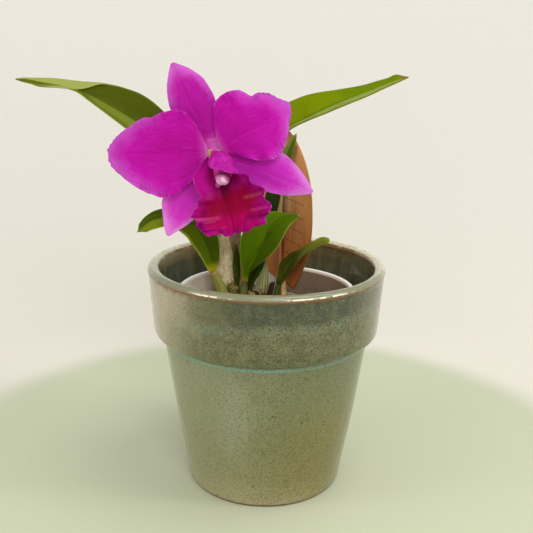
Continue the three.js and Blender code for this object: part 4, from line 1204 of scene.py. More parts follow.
def bark():
    random = np.random.default_rng(7)
    blocked = obstacles()
    forms = [bark_fill()]
    for count, size, level, spread in BARK_LAYERS:
        for index in range(count):
            scale = random.uniform(0.7, 1.25)
            block = np.array(size) * scale * [1, random.uniform(0.7, 1.2), random.uniform(0.7, 1.3)]
            reach = spread * math.sqrt((index + random.uniform(0, 1)) / count)
            turn = index * GOLDEN_TURN + random.uniform(-0.3, 0.3)
            height = level + random.uniform(-1, 1.6) - 1.5 * fade(36, 47, reach)
            middle = np.array([reach * math.cos(turn), reach * math.sin(turn), height])
            spin = Matrix.Rotation(random.uniform(0, TAU), 4, "Z")
            for axis in "XY":
                spin = spin @ Matrix.Rotation(random.normal(0, 0.28), 4, axis)
            tags = [random.beta(2.2, 2.4), random.uniform(0, 1) ** 2, 0]
            if math.hypot(*middle[:2]) + 0.42 * block[0] > bark_wall(middle[2]) - 0.5:
                continue
            gap = np.linalg.norm(blocked[:, :3] - middle, axis=1) - blocked[:, 3]
            if gap.min() < 0.36 * block[0]:
                continue
            chip = pebble(block, int(random.integers(1, 9999)), 5 if size[0] > 7 else 4, 4.2, 0.2)
            chip.tags[:] = tags
            forms.append(chip.placed(Matrix.Translation(Vector(middle)) @ spin))
    piece("bark_chips", join(forms), bark_paint(), ["bark_mix"])


# chips that lean against the rhizome: size, middle, tint and dust
LEANING_CHIPS = [
    ((5.2, 4.4, 12.6), (-10.3, 2.4, 117.6), 1.0, 1.0), ((5, 5, 12), (-6.2, 10.6, 116.4), 0.1, 0.0),
    ((3.4, 3.6, 15), (2.5, 8.6, 121), 0.12, 0.0), ((4.5, 3.6, 10), (-1.5, 4.5, 117), 0.4, 0.2),
    ((4, 3.5, 9), (10.5, 4.6, 115), 0.3, 0.1),
]


def leaning_chips():
    forms = []
    for seed, (size, middle, tint, dust) in enumerate(LEANING_CHIPS):
        chip = pebble(size, seed + 60, 9, 4.2, 0.25)
        chip.tags[:] = [tint, dust, 0]
        lean = Matrix.Rotation(0.16 * (-1) ** seed, 4, "Y")
        forms.append(chip.placed(Matrix.Translation(Vector(middle)) @ lean))
    piece("leaning_chips", join(forms), bark_paint())


# ---------------------------------------------------------------- leaves

# stations of x, y, z, and half the width on each side of the midrib; face is where the upper side looks
LEAVES = {
    "leaf_long_left": {
        "stations": [
            [-33.9, 8.3, 184.3, 2.6, 2.6], [-40.6, 9, 195.8, 6, 6], [-51.2, 9.6, 208.5, 9.5, 10],
            [-67.2, 10.4, 220.3, 10.7, 14.4], [-83.1, 11, 231.4, 10.2, 17.8], [-96.5, 12, 239, 8.6, 17.3],
            [-108, 12, 245.3, 7, 11.1], [-117.3, 11, 249.7, 3.8, 5.6], [-128.4, 9.5, 252.3, 2.2, 3.3],
            [-140.1, 8, 254, 3.7, 1.9], [-153.3, 7, 255.6, 0.8, 0.8],
        ],
        "face": [
            [-0.6, -0.5, 0.6], [-0.5, -0.5, 0.7], [-0.2, -0.5, 0.8], [0, -0.5, 0.87], [0, -0.5, 0.87],
            [0, -0.5, 0.87],
        ],
        "fold": [20, 16, 14, 12, 10, 10],
    },
    "leaf_long_right": {
        "stations": [
            [-22.3, 22.9, 179.6, 2.3, 2.3], [-17.8, 21.6, 192.7, 5.5, 5], [-10.1, 19.2, 205.4, 9.5, 6.4],
            [-0.1, 16.4, 217.3, 11.4, 5.6], [12.2, 14, 227.3, 13.4, 3.6], [23.3, 13, 233.4, 14.2, 4],
            [34.8, 12, 239.3, 13.2, 5.8], [46.8, 11, 244.8, 10.9, 7], [59.3, 10, 249.8, 8.2, 6.3],
            [72.4, 9, 255.1, 6.5, 3.4], [84.9, 8, 259.7, 1.4, 0.9],
        ],
        "face": [
            [0.7, -0.5, 0.3], [0.5, -0.5, 0.6], [-0.1, -0.62, 0.8], [-0.2, -0.5, 0.86], [-0.3, -0.45, 0.88],
        ],
        "fold": [24, 26, 24, 14, 10, 6],
    },
    "leaf_upright": {
        "stations": [
            [-1.4, 22, 140.6, 1.3, 1.7], [-0.9, 21.5, 156.5, 2.3, 4.7], [1.1, 20, 173.6, 3.7, 7.2],
            [4.1, 17.6, 190.4, 4.1, 6.8], [8.2, 13.6, 205.8, 2.8, 6.8], [12.6, 9, 216.5, 1.6, 5.3],
            [17.4, 3.5, 225.4, 0.9, 1.1],
        ],
        "face": [[-0.5, -0.85, 0], [-0.45, -0.85, 0.1], [-0.35, -0.9, 0.2], [-0.25, -0.9, 0.35]],
        "fold": [24, 20, 16, 14],
    },
    "leaf_arching": {
        "stations": [
            [-34, -8, 140.5, 3, 2.3], [-35.7, -8, 150.4, 6.5, 6.3], [-39, -8, 160, 9.2, 9.1],
            [-44.1, -8.4, 168.2, 11.6, 9], [-51.4, -9, 173.6, 13.3, 8.7], [-61.3, -10, 175.3, 10.2, 6.7],
            [-70.9, -12, 173.1, 8.3, 5.6], [-79.4, -15, 166.6, 3.6, 2.6],
        ],
        "face": [
            [0.5, -0.85, 0.2], [0.5, -0.8, 0.3], [0.3, -0.6, 0.75], [0.1, -0.45, 0.88], [-0.1, -0.55, 0.8],
            [-0.35, -0.65, 0.65],
        ],
        "fold": [24, 16, 10, 8, 8, 10],
        "round": 0.03,
    },
    "leaf_broad_front": {
        "stations": [
            [-14, -2, 132.2, 1.7, 1.6], [-12.7, -3, 140.2, 3.9, 3], [-8.9, -5, 148, 8.3, 5.2],
            [-4.2, -7, 156.3, 12.7, 8.6], [1.4, -8, 164.3, 14.2, 10], [8, -8.6, 171.2, 9.4, 7.6],
            [14.3, -8.8, 175.2, 3.1, 3.8], [20, -8.6, 177.4, 0.8, 0.8],
        ],
        "face": [
            [0.2, -0.95, 0.2], [0.1, -0.93, 0.3], [-0.1, -0.9, 0.4], [-0.2, -0.85, 0.5], [-0.2, -0.8, 0.6],
        ],
        "fold": [30, 26, 20, 12],
    },
    "leaf_small_back": {
        "stations": [
            [-12.6, 14.2, FOOT, 1.8, 1.8], [-11, 14.2, 122.2, 2.6, 1.9], [-9.4, 14.2, 127.5, 3.6, 1.8],
            [-7.2, 14.2, 133, 5, 2.4], [-4.8, 14.4, 139, 4.9, 2.8], [-2.5, 14.8, 144.7, 3.8, 2.1],
            [-0.6, 15, 149.4, 2, 0.8],
        ],
        "face": [[0.2, -0.95, 0.2], [0.4, -0.85, 0.3], [0.4, -0.8, 0.4]],
        "fold": [26, 22, 14],
    },
    "leaf_slim": {
        "stations": [
            [-18.8, 3.4, FOOT + 0.8, 1.6, 1.6], [-19.2, 3.4, 123.5, 1.7, 1.7], [-19.1, 3.2, 132.3, 2, 2],
            [-19.2, 3.2, 141, 2.5, 2.5], [-19.2, 3.2, 148.9, 2.3, 2], [-19.5, 3.6, 155.4, 0.8, 0.8],
        ],
        "face": [[0.3, -0.95, 0], [0.3, -0.95, 0.1], [0.3, -0.9, 0.2]],
        "fold": [20, 16, 12],
    },
    "leaf_small_right": {
        "stations": [
            [7.9, 12, 126.2, 1.7, 1.7], [11, 10, 133.9, 2.5, 3.9], [14, 5.5, 140.4, 4.7, 4.7],
            [17.1, -1.5, 146.7, 4.7, 6], [20.4, -10.5, 152.7, 3.1, 4.7], [24.1, -18, 157.7, 2.4, 3],
            [28.4, -21.5, 161.3, 2.4, 2.5], [33, -23.5, 163.6, 3.4, 1.9], [37.7, -25, 164.9, 2.2, 1.8],
        ],
        "face": [
            [-0.5, -0.85, 0.1], [-0.45, -0.85, 0.3], [-0.3, -0.8, 0.5], [-0.2, -0.75, 0.6],
            [-0.2, -0.7, 0.65],
        ],
        "fold": [28, 24, 20, 16, 12],
        "round": 0.02,
    },
}

SMALL_LEAVES = ("leaf_small_back", "leaf_slim", "leaf_small_right")

# for each leaf: tones of its left half and right half (the two differ as painted light and shade of the
# fold), foot, edge, back and tip, then bands as start and end along the leaf, low and high across it, tone,
# share and softness, and the seam between the two halves as its place across the foot and how far it leans
LEAF_LOOKS = {
    "leaf_long_left": {
        "tones": ("4a5800", "3e4800", "8a9a30", "8a9438", "8c9448", "5c4c28"),
        "bands": [
            (0.0, 0.62, -0.78, -0.02, "6c7626", 0.85, 0.2), (0.0, 0.6, -1.1, -0.86, "5c6a04", 0.7, 0.05),
            (0.78, 1.0, -1.1, 0.7, "5c5c14", 0.7, 0.1),
        ],
    },
    "leaf_long_right": {
        "tones": ("6a7c00", "7e9040", "8a9a30", "6c6c00", "76842a", "8a5a30"),
        "bands": [
            (0.72, 1.0, -1.1, -0.1, "566e00", 0.6, 0.1), (0.3, 1.0, -1.1, -0.95, "7c5a20", 0.7, 0.02),
            (0.0, 0.9, -0.07, 0.02, "4a5600", 0.8, 0.04), (0.0, 1.0, 0.9, 1.1, "4c4a0a", 0.7, 0.04),
            (0.0, 0.5, -1.1, -0.5, "5e7000", 0.5, 0.1),
        ],
    },
    "leaf_upright": {
        "tones": ("84903c", "527010", "8a9a40", "7f9034", "5a7024", "9a9a40"),
        # painted shade: the lower two thirds of this leaf, which stands behind the flower, are darkened to a
        # shadowed green
        "bands": [(0.0, 0.66, -1.1, 1.1, "24401c", 0.9, 0.1)],
        "seam": (0.3, 0.0),
    },
    "leaf_arching": {
        "tones": ("4a6000", "3a4e00", "a0981c", "98a050", "5f7422", "6f8024"),
        "bands": [
            (0.0, 0.6, -1.1, -0.86, "86961c", 0.75, 0.04), (0.62, 1.0, -1.1, -0.2, "747e14", 0.7, 0.1),
        ],
    },
    "leaf_broad_front": {
        "tones": ("4e6e00", "3c5200", "948c18", "9aaa48", "64802a", "a08c5c"),
        "bands": [
            (0.0, 0.2, -1.1, -0.55, "8c6c3c", 0.6, 0.1), (0.62, 1.0, -0.9, 0.9, "466400", 0.7, 0.1),
            (0.2, 1.0, 0.92, 1.2, "3c5200", 0.9, 0.03),
        ],
        "seam": (0.79, -1.6),
    },
    # painted shade: these two leaves stand in the shade of the others, and their tones are that shadowed
    # green
    "leaf_small_back": {"tones": ("2a3a08", "32460c", "4c5a20", "4a5e1c", "2c4410", "3a5014")},
    "leaf_slim": {"tones": ("3c4812", "34400c", "4c5a20", "4a5e1c", "2c4410", "3a5014")},
    "leaf_small_right": {
        "tones": ("64661e", "5a6416", "42500c", "7a7e30", "5a6420", "7a8a1c"),
        "bands": [
            (0.0, 0.5, -1.1, 1.1, "444a16", 0.55, 0.1), (0.15, 0.85, -0.14, -0.02, "8a8e44", 0.75, 0.04),
            (0.7, 0.97, -1.1, -0.3, "6c7420", 0.6, 0.1),
        ],
    },
}


def hem(shape):
    """The far edge of the long leaf, rolled over so that its pale back shows along the top."""
    steps, start, half_thickness = 36, 0.5, 0.22
    rows = np.linspace(start, 0.992, steps)
    place, normal = blade_surface(shape, rows, np.full(steps, 0.99))
    inner, _ = blade_surface(shape, rows, np.full(steps, 0.9))
    out, up = unit(place - inner), unit(normal)
    reach = along([0.05, 0.05, 1.2, 5.4, 7.6, 7.6, 7, 6.6, 5.4, 2.4, 0.1], (rows - start) / (1 - start))
    roll = 0.7 * fade(0.5, 0.6, rows) * fade(1.02, 0.8, rows)
    rings = []
    for share in np.linspace(0, 1, 9):
        turn = math.pi * min(share * 2, 1)
        rise = roll * (1 - math.cos(turn))
        over = roll * math.sin(turn) - reach * max(share * 2 - 1, 0)
        rings.append(place + up * rise[:, None] + out * over[:, None])
    rings = np.array(rings)
    facing = unit(np.cross(np.gradient(rings, axis=0), np.gradient(rings, axis=1)))
    loop = np.concatenate([rings + facing * half_thickness, (rings - facing * half_thickness)[::-1]])
    index = ring_index(loop.swapaxes(0, 1))
    tags = np.zeros((steps, len(loop), 3))
    tags[..., 0] = rows[:, None]
    tags[..., 1:] = [0.6, -1]
    faces = grid_faces(index, flip=True) + [index[0, :-1], index[-1, -2::-1]]
    return Form(loop.swapaxes(0, 1), faces, tags).outward()


def leaf_relief(seed, ripple, groove):
    """A sunken midrib, faint parallel veins and a slow ripple along the edges."""
    def relief(t, u):
        rib = -groove * peak(u, 0, 0.05) * fade(1.0, 0.85, t)
        waves = ripple * np.abs(u) ** 2 * wander(t * 4, np.sign(u) * 2 + 0 * t, 1, seed, 2)
        return rib + waves + 0.05 * np.sin(TAU * 5 * u) * fade(0.1, 0.3, t)
    return relief


def leaf_outline(name, seed):
    """A slightly uneven edge that narrows to a point. Two leaves have a broad stretch of their own."""
    narrows_from = 0.72 if name == "leaf_slim" else 0.965

    def outline(t, side):
        uneven = 1 + 0.02 * wander(t * 9, t * 0 + side * 2, 1, seed, 2)
        if name == "leaf_small_right" and side < 0:
            return uneven + 0.4 * fade(0, 0.06, t) * fade(0.34, 0.12, t)
        if name == "leaf_long_right":
            return uneven + (0.8 * peak(t, 0.955, 0.03) if side < 0 else 0) - 0.7 * fade(0.992, 1, t)
        return uneven * (1 - 0.8 * fade(narrows_from, 1, t))
    return outline


def leaf_body(t, u):
    """Thickness of a leaf: more along its keel near the foot, less at its tip."""
    return (1 + 0.35 * peak(u, 0, 0.12) * fade(0.6, 0.1, t)) * (1 - 0.55 * fade(0.9, 1, t))


def leaves():
    for seed, (name, stations) in enumerate(LEAVES.items()):
        small = name in SMALL_LEAVES
        relief = leaf_relief(seed + 60, 0.35, 0.15) if small else leaf_relief(seed + 60, 0.9, 0.28)
        shape = dict(stations, relief=relief, outline=leaf_outline(name, seed + 80), body=leaf_body)
        form = sheet(shape, 90, 30, 1.1) if small else sheet(shape, 112, 46, 1.35)
        if name == "leaf_long_left":
            form = join([form, hem(shape)])
        paint = leaf_paint(name, **LEAF_LOOKS[name])
        piece(name + "_fine", form, paint, [name])


# ---------------------------------------------------------------- flower

# from the flower's own axes, with +Y towards the dorsal sepal and +Z out of its face, to the frame's
FLOWER = (Matrix.Translation(Vector((-31, -30, 218.6))) @ Matrix.Rotation(math.radians(3.85), 4, "Z")
          @ Matrix.Rotation(math.radians(82.5), 4, "X") @ Matrix.Rotation(math.radians(19), 4, "Z"))
FLOWER_STEM = [
    [-29.5, 4.9, 182, 1.8], [-29, 3.8, 193, 1.6], [-29.6, 2.6, 202, 1.6], [-30.8, -1.4, 209.6, 1.7],
    [-31.5, -8, 213.4, 1.9], [-31.8, -15.6, 215.9, 2.3], [-31.6, -22.9, 217.6, 2.5],
    [-31.05, -29.3, 218.5, 3],
]
# where the tepals meet, in the flower's own axes
HUB = [[0, 0, -5, 2.6], [0, 0, -3.4, 5], [0, 0, -1.8, 8.3], [0, 0, -0.6, 6.6], [0, 0, 0.8, 2]]
# stations in each tepal's own axes, which run along it
TEPALS = {
    "sepal_dorsal": {
        "turn": 97,
        "stations": [
            [0, 3.7, -0.6, 2.4, 2.4], [0, 11, -2, 6.4, 7.4], [0, 18.5, -2.8, 9.8, 11],
            [0, 26, -3, 12, 13.7], [0, 34, -3, 11.8, 13.6], [0, 41.5, -3, 9.3, 12.2],
            [0.3, 48.5, -3.4, 5.3, 7.8], [0.6, 54.6, -4, 0.9, 0.9],
        ],
        "wrap": [0, -14, -22, -24],
        "frill": {"height": [0, 0.3, 0.4, 0.3], "waves": 2.2, "offset": 0.3},
    },
    "sepal_left": {
        "turn": -137.4,
        "stations": [
            [0, 3.7, -0.6, 2.4, 2.4], [0, 12, -2.4, 5.4, 5.8], [0, 20, -3.4, 8.4, 9.6],
            [0, 28, -3.8, 10.4, 12.8], [0, 36, -4.4, 9.8, 13.8], [0, 43.5, -5.2, 7.3, 12.1],
            [0.4, 50.5, -6.4, 3.8, 6.8], [0.8, 56.6, -7.6, 0.9, 0.9],
        ],
        "wrap": [0, -16, -26, -26],
        "frill": {"height": [0, 0.3, 0.4, 0.3], "waves": 2.4, "offset": 0.2},
    },
    "sepal_right": {
        "turn": -41.4,
        "stations": [
            [0, 3.7, -0.6, 2.4, 2.4], [0, 13, -2.4, 6, 5.6], [0, 22, -3.2, 10.6, 8.4],
            [0, 31, -3.4, 14, 10.4], [0, 40, -3.6, 14, 9.7], [0, 49, -4, 10, 7.8],
            [0, 56.4, -4.6, 5.5, 4.5], [0, 62.6, -5.4, 0.9, 0.9],
        ],
        "wrap": [0, -16, -24, -24],
        "frill": {"height": [0, 0.3, 0.4, 0.3], "waves": 2.3, "offset": 0.4},
    },
    "petal_left": {
        "turn": 163.4,
        "stations": [
            [0, 3.7, 0.9, 2.4, 2.4], [0, 9, 2.2, 10.2, 14.2], [0, 16, 3, 18.8, 22.6],
            [0, 24, 3.4, 23.6, 23.8], [0, 32.4, 3.2, 24.5, 21.3], [0, 41, 2.4, 21.6, 18.9],
            [0, 49.4, 1, 15.4, 13.8], [0, 56.2, -1, 9.4, 8.9], [0, 60.4, -2.6, 3.2, 3],
        ],
        "wrap": [0, 12, 16, 12, 4],
        "frill": {"height": [0, 0.7, 1.1, 1.2, 0.6], "waves": 5.3, "offset": 0.35},
    },
    "petal_right": {
        "turn": 10.6,
        "stations": [
            [0, 3.7, 0.9, 2.4, 2.4], [0, 8, 2.2, 13.4, 6.4], [0, 14, 3, 23.4, 12.2],
            [0, 20.6, 3.4, 24.9, 17.8], [0, 27.4, 3.4, 23.5, 21], [0, 34.4, 3, 17.4, 19.1],
            [-0.3, 40.8, 2, 15.6, 12.1], [-1.4, 46.5, 0.6, 11, 6], [-3, 50.8, -0.6, 1.2, 1.2],
        ],
        "wrap": [0, 12, 16, 10, 0],
        "frill": {"height": [0, 0.8, 1.2, 1.2, 0.6], "waves": 4.6, "offset": 0.15},
    },
}
# dents in the edges: place along the petal, which side, depth as a share of the width, and length
DENTS = {
    "petal_right": [(0.61, -1, 0.07, 0.035), (0.3, -1, 0.02, 0.03), (0.82, 1, 0.03, 0.04)],
    "petal_left": [
        (0.53, 1, 0.05, 0.03), (0.68, 1, 0.03, 0.03), (0.55, -1, 0.03, 0.03), (0.42, -1, 0.02, 0.02),
    ],
}
LIP = {
    "stations": [
        [0, -4.3, 1, 10.5, 9.1], [-0.6, -9.5, 3.8, 28.6, 12], [-1.6, -16, 6.8, 33.5, 17],
        [-2.2, -23, 9.8, 28.5, 12.4], [-2.6, -30, 12.4, 25, 20.4], [-3.2, -37, 13.6, 24, 20.2],
        [-4, -43.2, 12, 21, 17.4], [-5.6, -48.4, 8.4, 15, 14.4],
    ],
    "face": [
        [0, 0.5, 0.86], [0, 0.45, 0.9], [0, 0.4, 0.92], [0, 0.3, 0.95], [0, 0.1, 1], [0, -0.2, 0.98],
        [0, -0.5, 0.87], [0, -0.7, 0.7],
    ],
    "curls": {"left": [150, 200, 200, 127, 62, 30, 6, -8], "right": [130, 80, 65, 50, 50, 25, 4, -8]},
    "flare": [0, 1.5, 2, 1, 0],
    "frill": {"height": [0, 0, 0.3, 1.2, 1.9, 2, 1.9, 1.6], "waves": 7.4, "offset": 0.4, "end": 1.1},
    "round": 0.095,
}
LIP_DENTS = [(0.42, 1, -0.14, 0.05), (0.53, 1, 0.1, 0.025), (0.88, -1, 0.12, 0.06)]
# streaks and folds of the lip, the dark folds being painted shade: side, where across it they start, place
# along it there, where they end, place along it there, half their width, tone and share
STREAKS = [
    (-1, 0.3, 0.775, 1.0, 0.77, 0.05, "5c0048", 0.6),
    (-1, 0.35, 0.85, 0.9, 0.84, 0.04, "b01890", 0.4),
    (1, 0.25, 0.715, 1.05, 0.69, 0.03, "c05c88", 0.26),
    (1, 0.4, 0.745, 0.85, 0.737, 0.02, "c06090", 0.25),
    (1, 0.12, 0.84, 0.66, 0.875, 0.025, "b84490", 0.26),
    (-1, 0.35, 0.565, 0.93, 0.6, 0.025, "a8604c", 0.3),
    (-1, 0.45, 0.705, 0.97, 0.728, 0.024, "c454a0", 0.26),
    (1, 0.55, 0.52, 1.05, 0.5, 0.04, "6c0038", 0.6),
    (1, -0.2, 0.99, 0.85, 0.99, 0.03, "b41c8c", 0.6),
]
COLUMN = [[0, -0.5, 2.2, 2.3], [0, -5.4, 7.2, 3], [0.3, -10.8, 12, 4.2], [0.7, -15.2, 16.2, 5.2]]
BEAK = [[-3.2, -17, 16.2, 1.5], [-4.2, -18.6, 17.2, 1.5], [-4.7, -19.5, 17.8, 1]]
ANTHER_CAP = [
    [-0.4, -15.2, 17.3, 3.6], [-0.8, -16.2, 18.2, 4.1], [-1.4, -17, 19.2, 3.2], [-1.7, -17.4, 20, 1.4],
]


def tepal_relief(seed, broad, crisp):
    """A sunken midline, fanned veins, and a crimped edge."""
    def relief(t, u):
        line = -0.25 * peak(u, 0, 0.05) * fade(1.0, 0.6, t)
        veins = 0.07 * wander(u * 11 + 0.4 * wander(t * 5, u * 3, 1, seed), t * 1.4, 1, seed + 4, 2)
        swell = broad * wander(t * 2.6, u * 1.7, 1, seed + 1, 2) * fade(0.1, 0.4, t)
        crimp = crisp * np.abs(u) ** 7 * np.sin(TAU * (15 * t + 1.3 * wander(t * 6, np.sign(u), 1, seed + 2)))
        tiny = 0.5 * crisp * np.abs(u) ** 12 * np.sin(TAU * (37 * t + np.sign(u) * 0.3))
        return line + veins + swell + (crimp + tiny) * fade(0.15, 0.4, t)
    return relief


def edge_line(seed, dents, ragged):
    """A ragged edge with dents in it."""
    def outline(t, side):
        value = 1 + ragged * wander(t * 11, t * 0 + side * 2.5, 1, seed, 3)
        for place, dent_side, depth, length in dents:
            if dent_side == side:
                value = value - depth * peak(t, place, length)
        return value
    return outline


def creased(relief):
    """The left petal's relief: a crease that runs in from its upper edge, and a crumpled lower edge."""
    def both(t, u):
        crease = 1.4 * peak(t, 0.47, 0.03) * fade(0.35, 1, u)
        return relief(t, u) + crease + 0.5 * fade(0.5, 1, -u) * wander(t * 16, u * 3, 1, 5, 2)
    return both


def tepals():
    broad = petal_paint("broad_petal", "9e0282", "ac0a98", "b44cb4")
    paints = {
        "sepal_dorsal": petal_paint("upper_sepal", "9c0484", "a41292", "bc58bc"),
        # painted light: the left sepal's tones are paler than the lower sepal's to make up for the shade that
        # the petal and lip cast on it
        "sepal_left": petal_paint("left_sepal", "c222b2", "ca38be", "d680d6"),
        "sepal_right": petal_paint("lower_sepal", "b014a2", "bc2cb4", "c878ce"),
    }
    for seed, (name, stations) in enumerate(TEPALS.items()):
        wide = name.startswith("petal")
        swell, crimp, ragged, columns = (0.5, 0.6, 0.026, 86) if wide else (0.3, 0.15, 0.01, 56)
        relief = tepal_relief(seed * 7 + 100, swell, crimp)
        shape = dict(stations, face=[[0, 0, 1]], relief=creased(relief) if name == "petal_left" else relief,
                     outline=edge_line(seed + 140, DENTS.get(name, []), ragged),
                     body=lambda t, u: 1 + 0.8 * fade(0.25, 0.0, t))
        spin = FLOWER @ Matrix.Rotation(math.radians(stations["turn"] - 90), 4, "Z")
        form = sheet(shape, 124, columns, 0.55, crisp=10).placed(spin)
        piece(name + "_fine", form, paints.get(name, broad), [name])


def lip():
    def relief(t, u):
        groove = -0.7 * peak(u, -0.02, 0.05) * fade(0.35, 0.55, t)
        keels = 0.35 * (peak(u, 0.13, 0.05) + peak(u, -0.17, 0.05)) * fade(0.4, 0.6, t) * fade(1, 0.8, t)
        veins = 0.14 * wander(u * 9 + 0.4 * wander(t * 5, u * 3, 1, 7), t * 2, 1, 17, 2)
        crimp = 0.5 * np.abs(u) ** 5 * np.sin(TAU * (13 * t + 1.2 * wander(t * 7, np.sign(u), 1, 9)))
        tiny = 0.12 * np.abs(u) ** 9 * np.sin(TAU * 41 * t)
        end = (0.8 * np.sin(TAU * 3.5 * u + 1) + 0.15 * np.sin(TAU * 9 * u)) * t**10
        return groove + keels + veins + (crimp + tiny) * fade(0.3, 0.5, t) + end

    form = sheet(dict(LIP, relief=relief, outline=edge_line(151, LIP_DENTS, 0.02)), 164, 116, 0.6, crisp=10)
    piece("frilled_lip", form.placed(FLOWER), lip_paint(), ["lip"])


def column():
    def relief(t, turn):
        belly = -0.9 * peak((turn + 0.5) % 1, 0.75, 0.16) * fade(0.55, 0.95, t)
        ridge = 0.35 * np.cos(TAU * 2 * turn) * fade(0.3, 0.9, t)
        return belly + ridge + 0.08 * wander(t * 8, turn * 6, 1, 3, 2)

    form = tube(COLUMN, 60, 48, (1, 0, 0), relief, (0.03, 0.06)).placed(FLOWER)
    piece("column_fine", form, waxy_paint("column", "c02c98", "9a1668"), ["column"])


def anther_cap():
    def relief(t, turn):
        cleft = -0.55 * peak((turn * 2) % 1, 0.5, 0.09) * fade(0.25, 0.8, t)
        return cleft + 0.12 * wander(t * 5, turn * 5, 1, 13, 2)

    cap = tube(ANTHER_CAP, 40, 48, (1, 0, 0), relief, (0.08, 0.35))
    beak = tube(BEAK, 16, 32, (1, 0, 0), None, (0.3, 0.45), 1)
    white = waxy_paint("anther", "ecc4e4", "c070ac", 0.25, "a42c84")
    piece("anther_cap_fine", join([cap, beak]).placed(FLOWER), white, ["anther_cap"])


def flower_stem():
    def relief(t, turn):
        return 0.1 * np.cos(TAU * 3 * turn) * fade(0.55, 0.9, t) + 0.05 * wander(t * 20, turn * 5, 1, 2, 2)

    stem = tube(FLOWER_STEM, 110, 32, (1, 0, 0), relief, (0.02, 0.03))
    hub = tube(HUB, 20, 40, (1, 0, 0), None, (0.05, 0.3)).placed(FLOWER)
    piece("flower_stem_fine", join([stem, hub]), stem_paint(), ["flower_stem"])


def flower_sheath():
    shape = {
        "stations": [
            [-29.6, 6.9, 182.6, 6.2, 6.2], [-29.1, 6.6, 191, 6.6, 6.6], [-29.3, 6, 197, 5, 5],
            [-29.9, 5, 203, 0.9, 0.9],
        ],
        "face": [[0, -1, 0]],
        "wrap": [270, 250, 190, 60],
        "relief": lambda t, u: 0.25 * wander(t * 4, u * 4, 1, 33, 2),
        "outline": lambda t, side: 1 + 0.03 * wander(t * 8, t * 0 + side, 1, 34, 2),
    }
    paper = dry_paint("flower_sheath", "b9ad78", "8f8a50", "6a5f34")
    piece("flower_sheath_fine", sheet(shape, 50, 40, 0.5), paper, ["flower_sheath"])


# ---------------------------------------------------------------- label

# the way the label looks, and the board's outline as half its width and height above its lower end
LABEL_FACE = [-0.9272, -0.3746, 0]
LABEL_OUTLINE = [
    [21.8, 0], [33, 14], [42.6, 29], [46.4, 43], [46.4, 57], [43.6, 70], [37.4, 81], [28, 90.5], [15, 98.5],
    [1, 102.2],
]
BOARD_FOOT = 124
STAKE_FOOT, STAKE_LENGTH, STAKE_HALF_WIDTH = 62, 144, 2.45


def label():
    board = {
        "stations": [[9.6, 28.5, BOARD_FOOT + height, half, half] for half, height in LABEL_OUTLINE],
        "face": [LABEL_FACE],
        "relief": lambda t, u: 0.05 * wander(t * 2, u * 30, 1, 3, 2),
    }
    form = sheet(board, 100, 64, 1.9, crisp=60, ends=160)
    piece("label_board_fine", form, board_paint(), ["label_board"])
    heights = np.linspace(STAKE_FOOT, STAKE_FOOT + STAKE_LENGTH, 9)
    stake = {
        "stations": [[8.2, 25.02, height, STAKE_HALF_WIDTH, STAKE_HALF_WIDTH] for height in heights],
        "face": [LABEL_FACE],
        "relief": lambda t, u: 0.1 * wander(t * 3, u * 4, 1, 6, 2),
        "outline": lambda t, side: (1 + 0.03 * wander(t * 18, t * 0 + side * 2, 1, 8, 2)
                                    - 0.2 * fade(0.985, 1, t)),
        "body": lambda t, u: 1 + 0.04 * wander(t * 22, u * 3, 1, 10, 2),
    }
    form = sheet(stake, 160, 22, 2.2, crisp=14, ends=220)
    piece("label_stake_fine", form, stake_paint(), ["label_stake"])


# ---------------------------------------------------------------- stage, light and camera


def stage():
    """A pale round floor that rises into a cream wall on every side."""
    sides = 96
    floor, bend, wall_top = 350, 1350, 1250
    arc = np.linspace(0, math.pi / 2, 29)
    profile = [[100, 0], [200, 0], [300, 0]]
    profile += [[floor + bend * math.sin(a), 1000 - 1000 * math.cos(a)] for a in arc]
    radius, height = np.array([*profile, [floor + bend, wall_top]], float).T[..., None]
    rings = polar(radius, np.arange(sides) / sides, height)
    faces = grid_faces(ring_index(rings), flip=True) + [list(range(sides))]
    backdrop = mesh_object("backdrop", rings.reshape(-1, 3), faces)
    p = Paint("backdrop", Specular_IOR_Level=0.2, Roughness=0.6)
    radius = p.radius()
    cream = p.mix(p.remap(radius, 350, 1650, kind="LINEAR"), "dedad0", "fffdf8")
    p.colour = p.mix(p.remap(radius, 222, 262), "c0c6ac", cream)
    p.coat(p.remap(p.noise(3, 3), 0.3, 0.7, 0, 0.04), "b4b89c")
    backdrop.data.materials.append(p.finish())
    backdrop.data.shade_smooth()


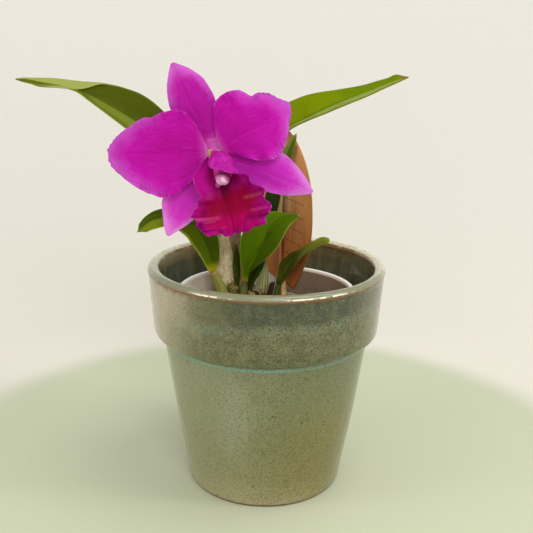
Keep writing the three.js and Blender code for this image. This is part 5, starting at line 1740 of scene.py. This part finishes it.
def softbox(name, place, aim, size, power):
    """A warm white rectangle of light."""
    light = bpy.data.lights.new(name, "AREA")
    light.shape = "RECTANGLE"
    light.size, light.size_y = size
    light.energy = power
    light.color = (1, 0.985, 0.96)
    made = bpy.data.objects.new(name, light)
    made.location = place
    made.rotation_euler = (Vector(aim) - Vector(place)).to_track_quat("-Z", "Y").to_euler()
    bpy.context.scene.collection.objects.link(made)


# name, place, where it points, size and power of each lamp, in metres and watts
LAMPS = [
    ("overhead", (0.35, -0.1, 1.15), (0, 0, 0.1), (0.6, 0.5), 4.2),
    ("front_window", (0.2, -1.1, 0.8), (0, 0, 0.15), (0.55, 0.35), 5.6),
    ("left_window", (-1.0, -0.35, 0.8), (0, 0, 0.12), (0.35, 0.6), 1.8),
    ("right_window", (0.95, -0.3, 0.8), (0, 0, 0.12), (0.16, 0.5), 2.4),
    ("left_lamp", (-0.6, -0.4, 1.1), (0, 0, 0.14), (0.14, 0.05), 0.5),
]
CAMERA_PLACE = (-0.0001, -0.489, 0.2793)
CAMERA_AIM = (-0.0001, 0, 0.1418)
CAMERA_ROLL = math.radians(0.7)


def lights():
    world = bpy.data.worlds.new("studio")
    world.use_nodes = True
    background = world.node_tree.nodes["Background"]
    background.inputs["Color"].default_value = (1.0, 0.99, 0.98, 1)
    background.inputs["Strength"].default_value = 0.61
    bpy.context.scene.world = world
    bpy.context.scene.view_settings.view_transform = "Standard"
    for lamp in LAMPS:
        softbox(*lamp)


def camera():
    lens = bpy.data.cameras.new("camera")
    lens.lens, lens.sensor_width = 54.03, 36
    made = bpy.data.objects.new("camera", lens)
    made.location = CAMERA_PLACE
    turn = (Vector(CAMERA_AIM) - Vector(CAMERA_PLACE)).to_track_quat("-Z", "Y")
    made.rotation_euler = (turn @ Quaternion((0, 0, 1), CAMERA_ROLL)).to_euler()
    bpy.context.scene.collection.objects.link(made)
    bpy.context.scene.camera = made


for build in (cover_pot, nursery_pot, bark, leaning_chips, rhizome, bulbs, leaves, tepals, lip, column,
              anther_cap, flower_stem, flower_sheath, label, stage, lights, camera):
    build()

bpy.context.view_layer.update()
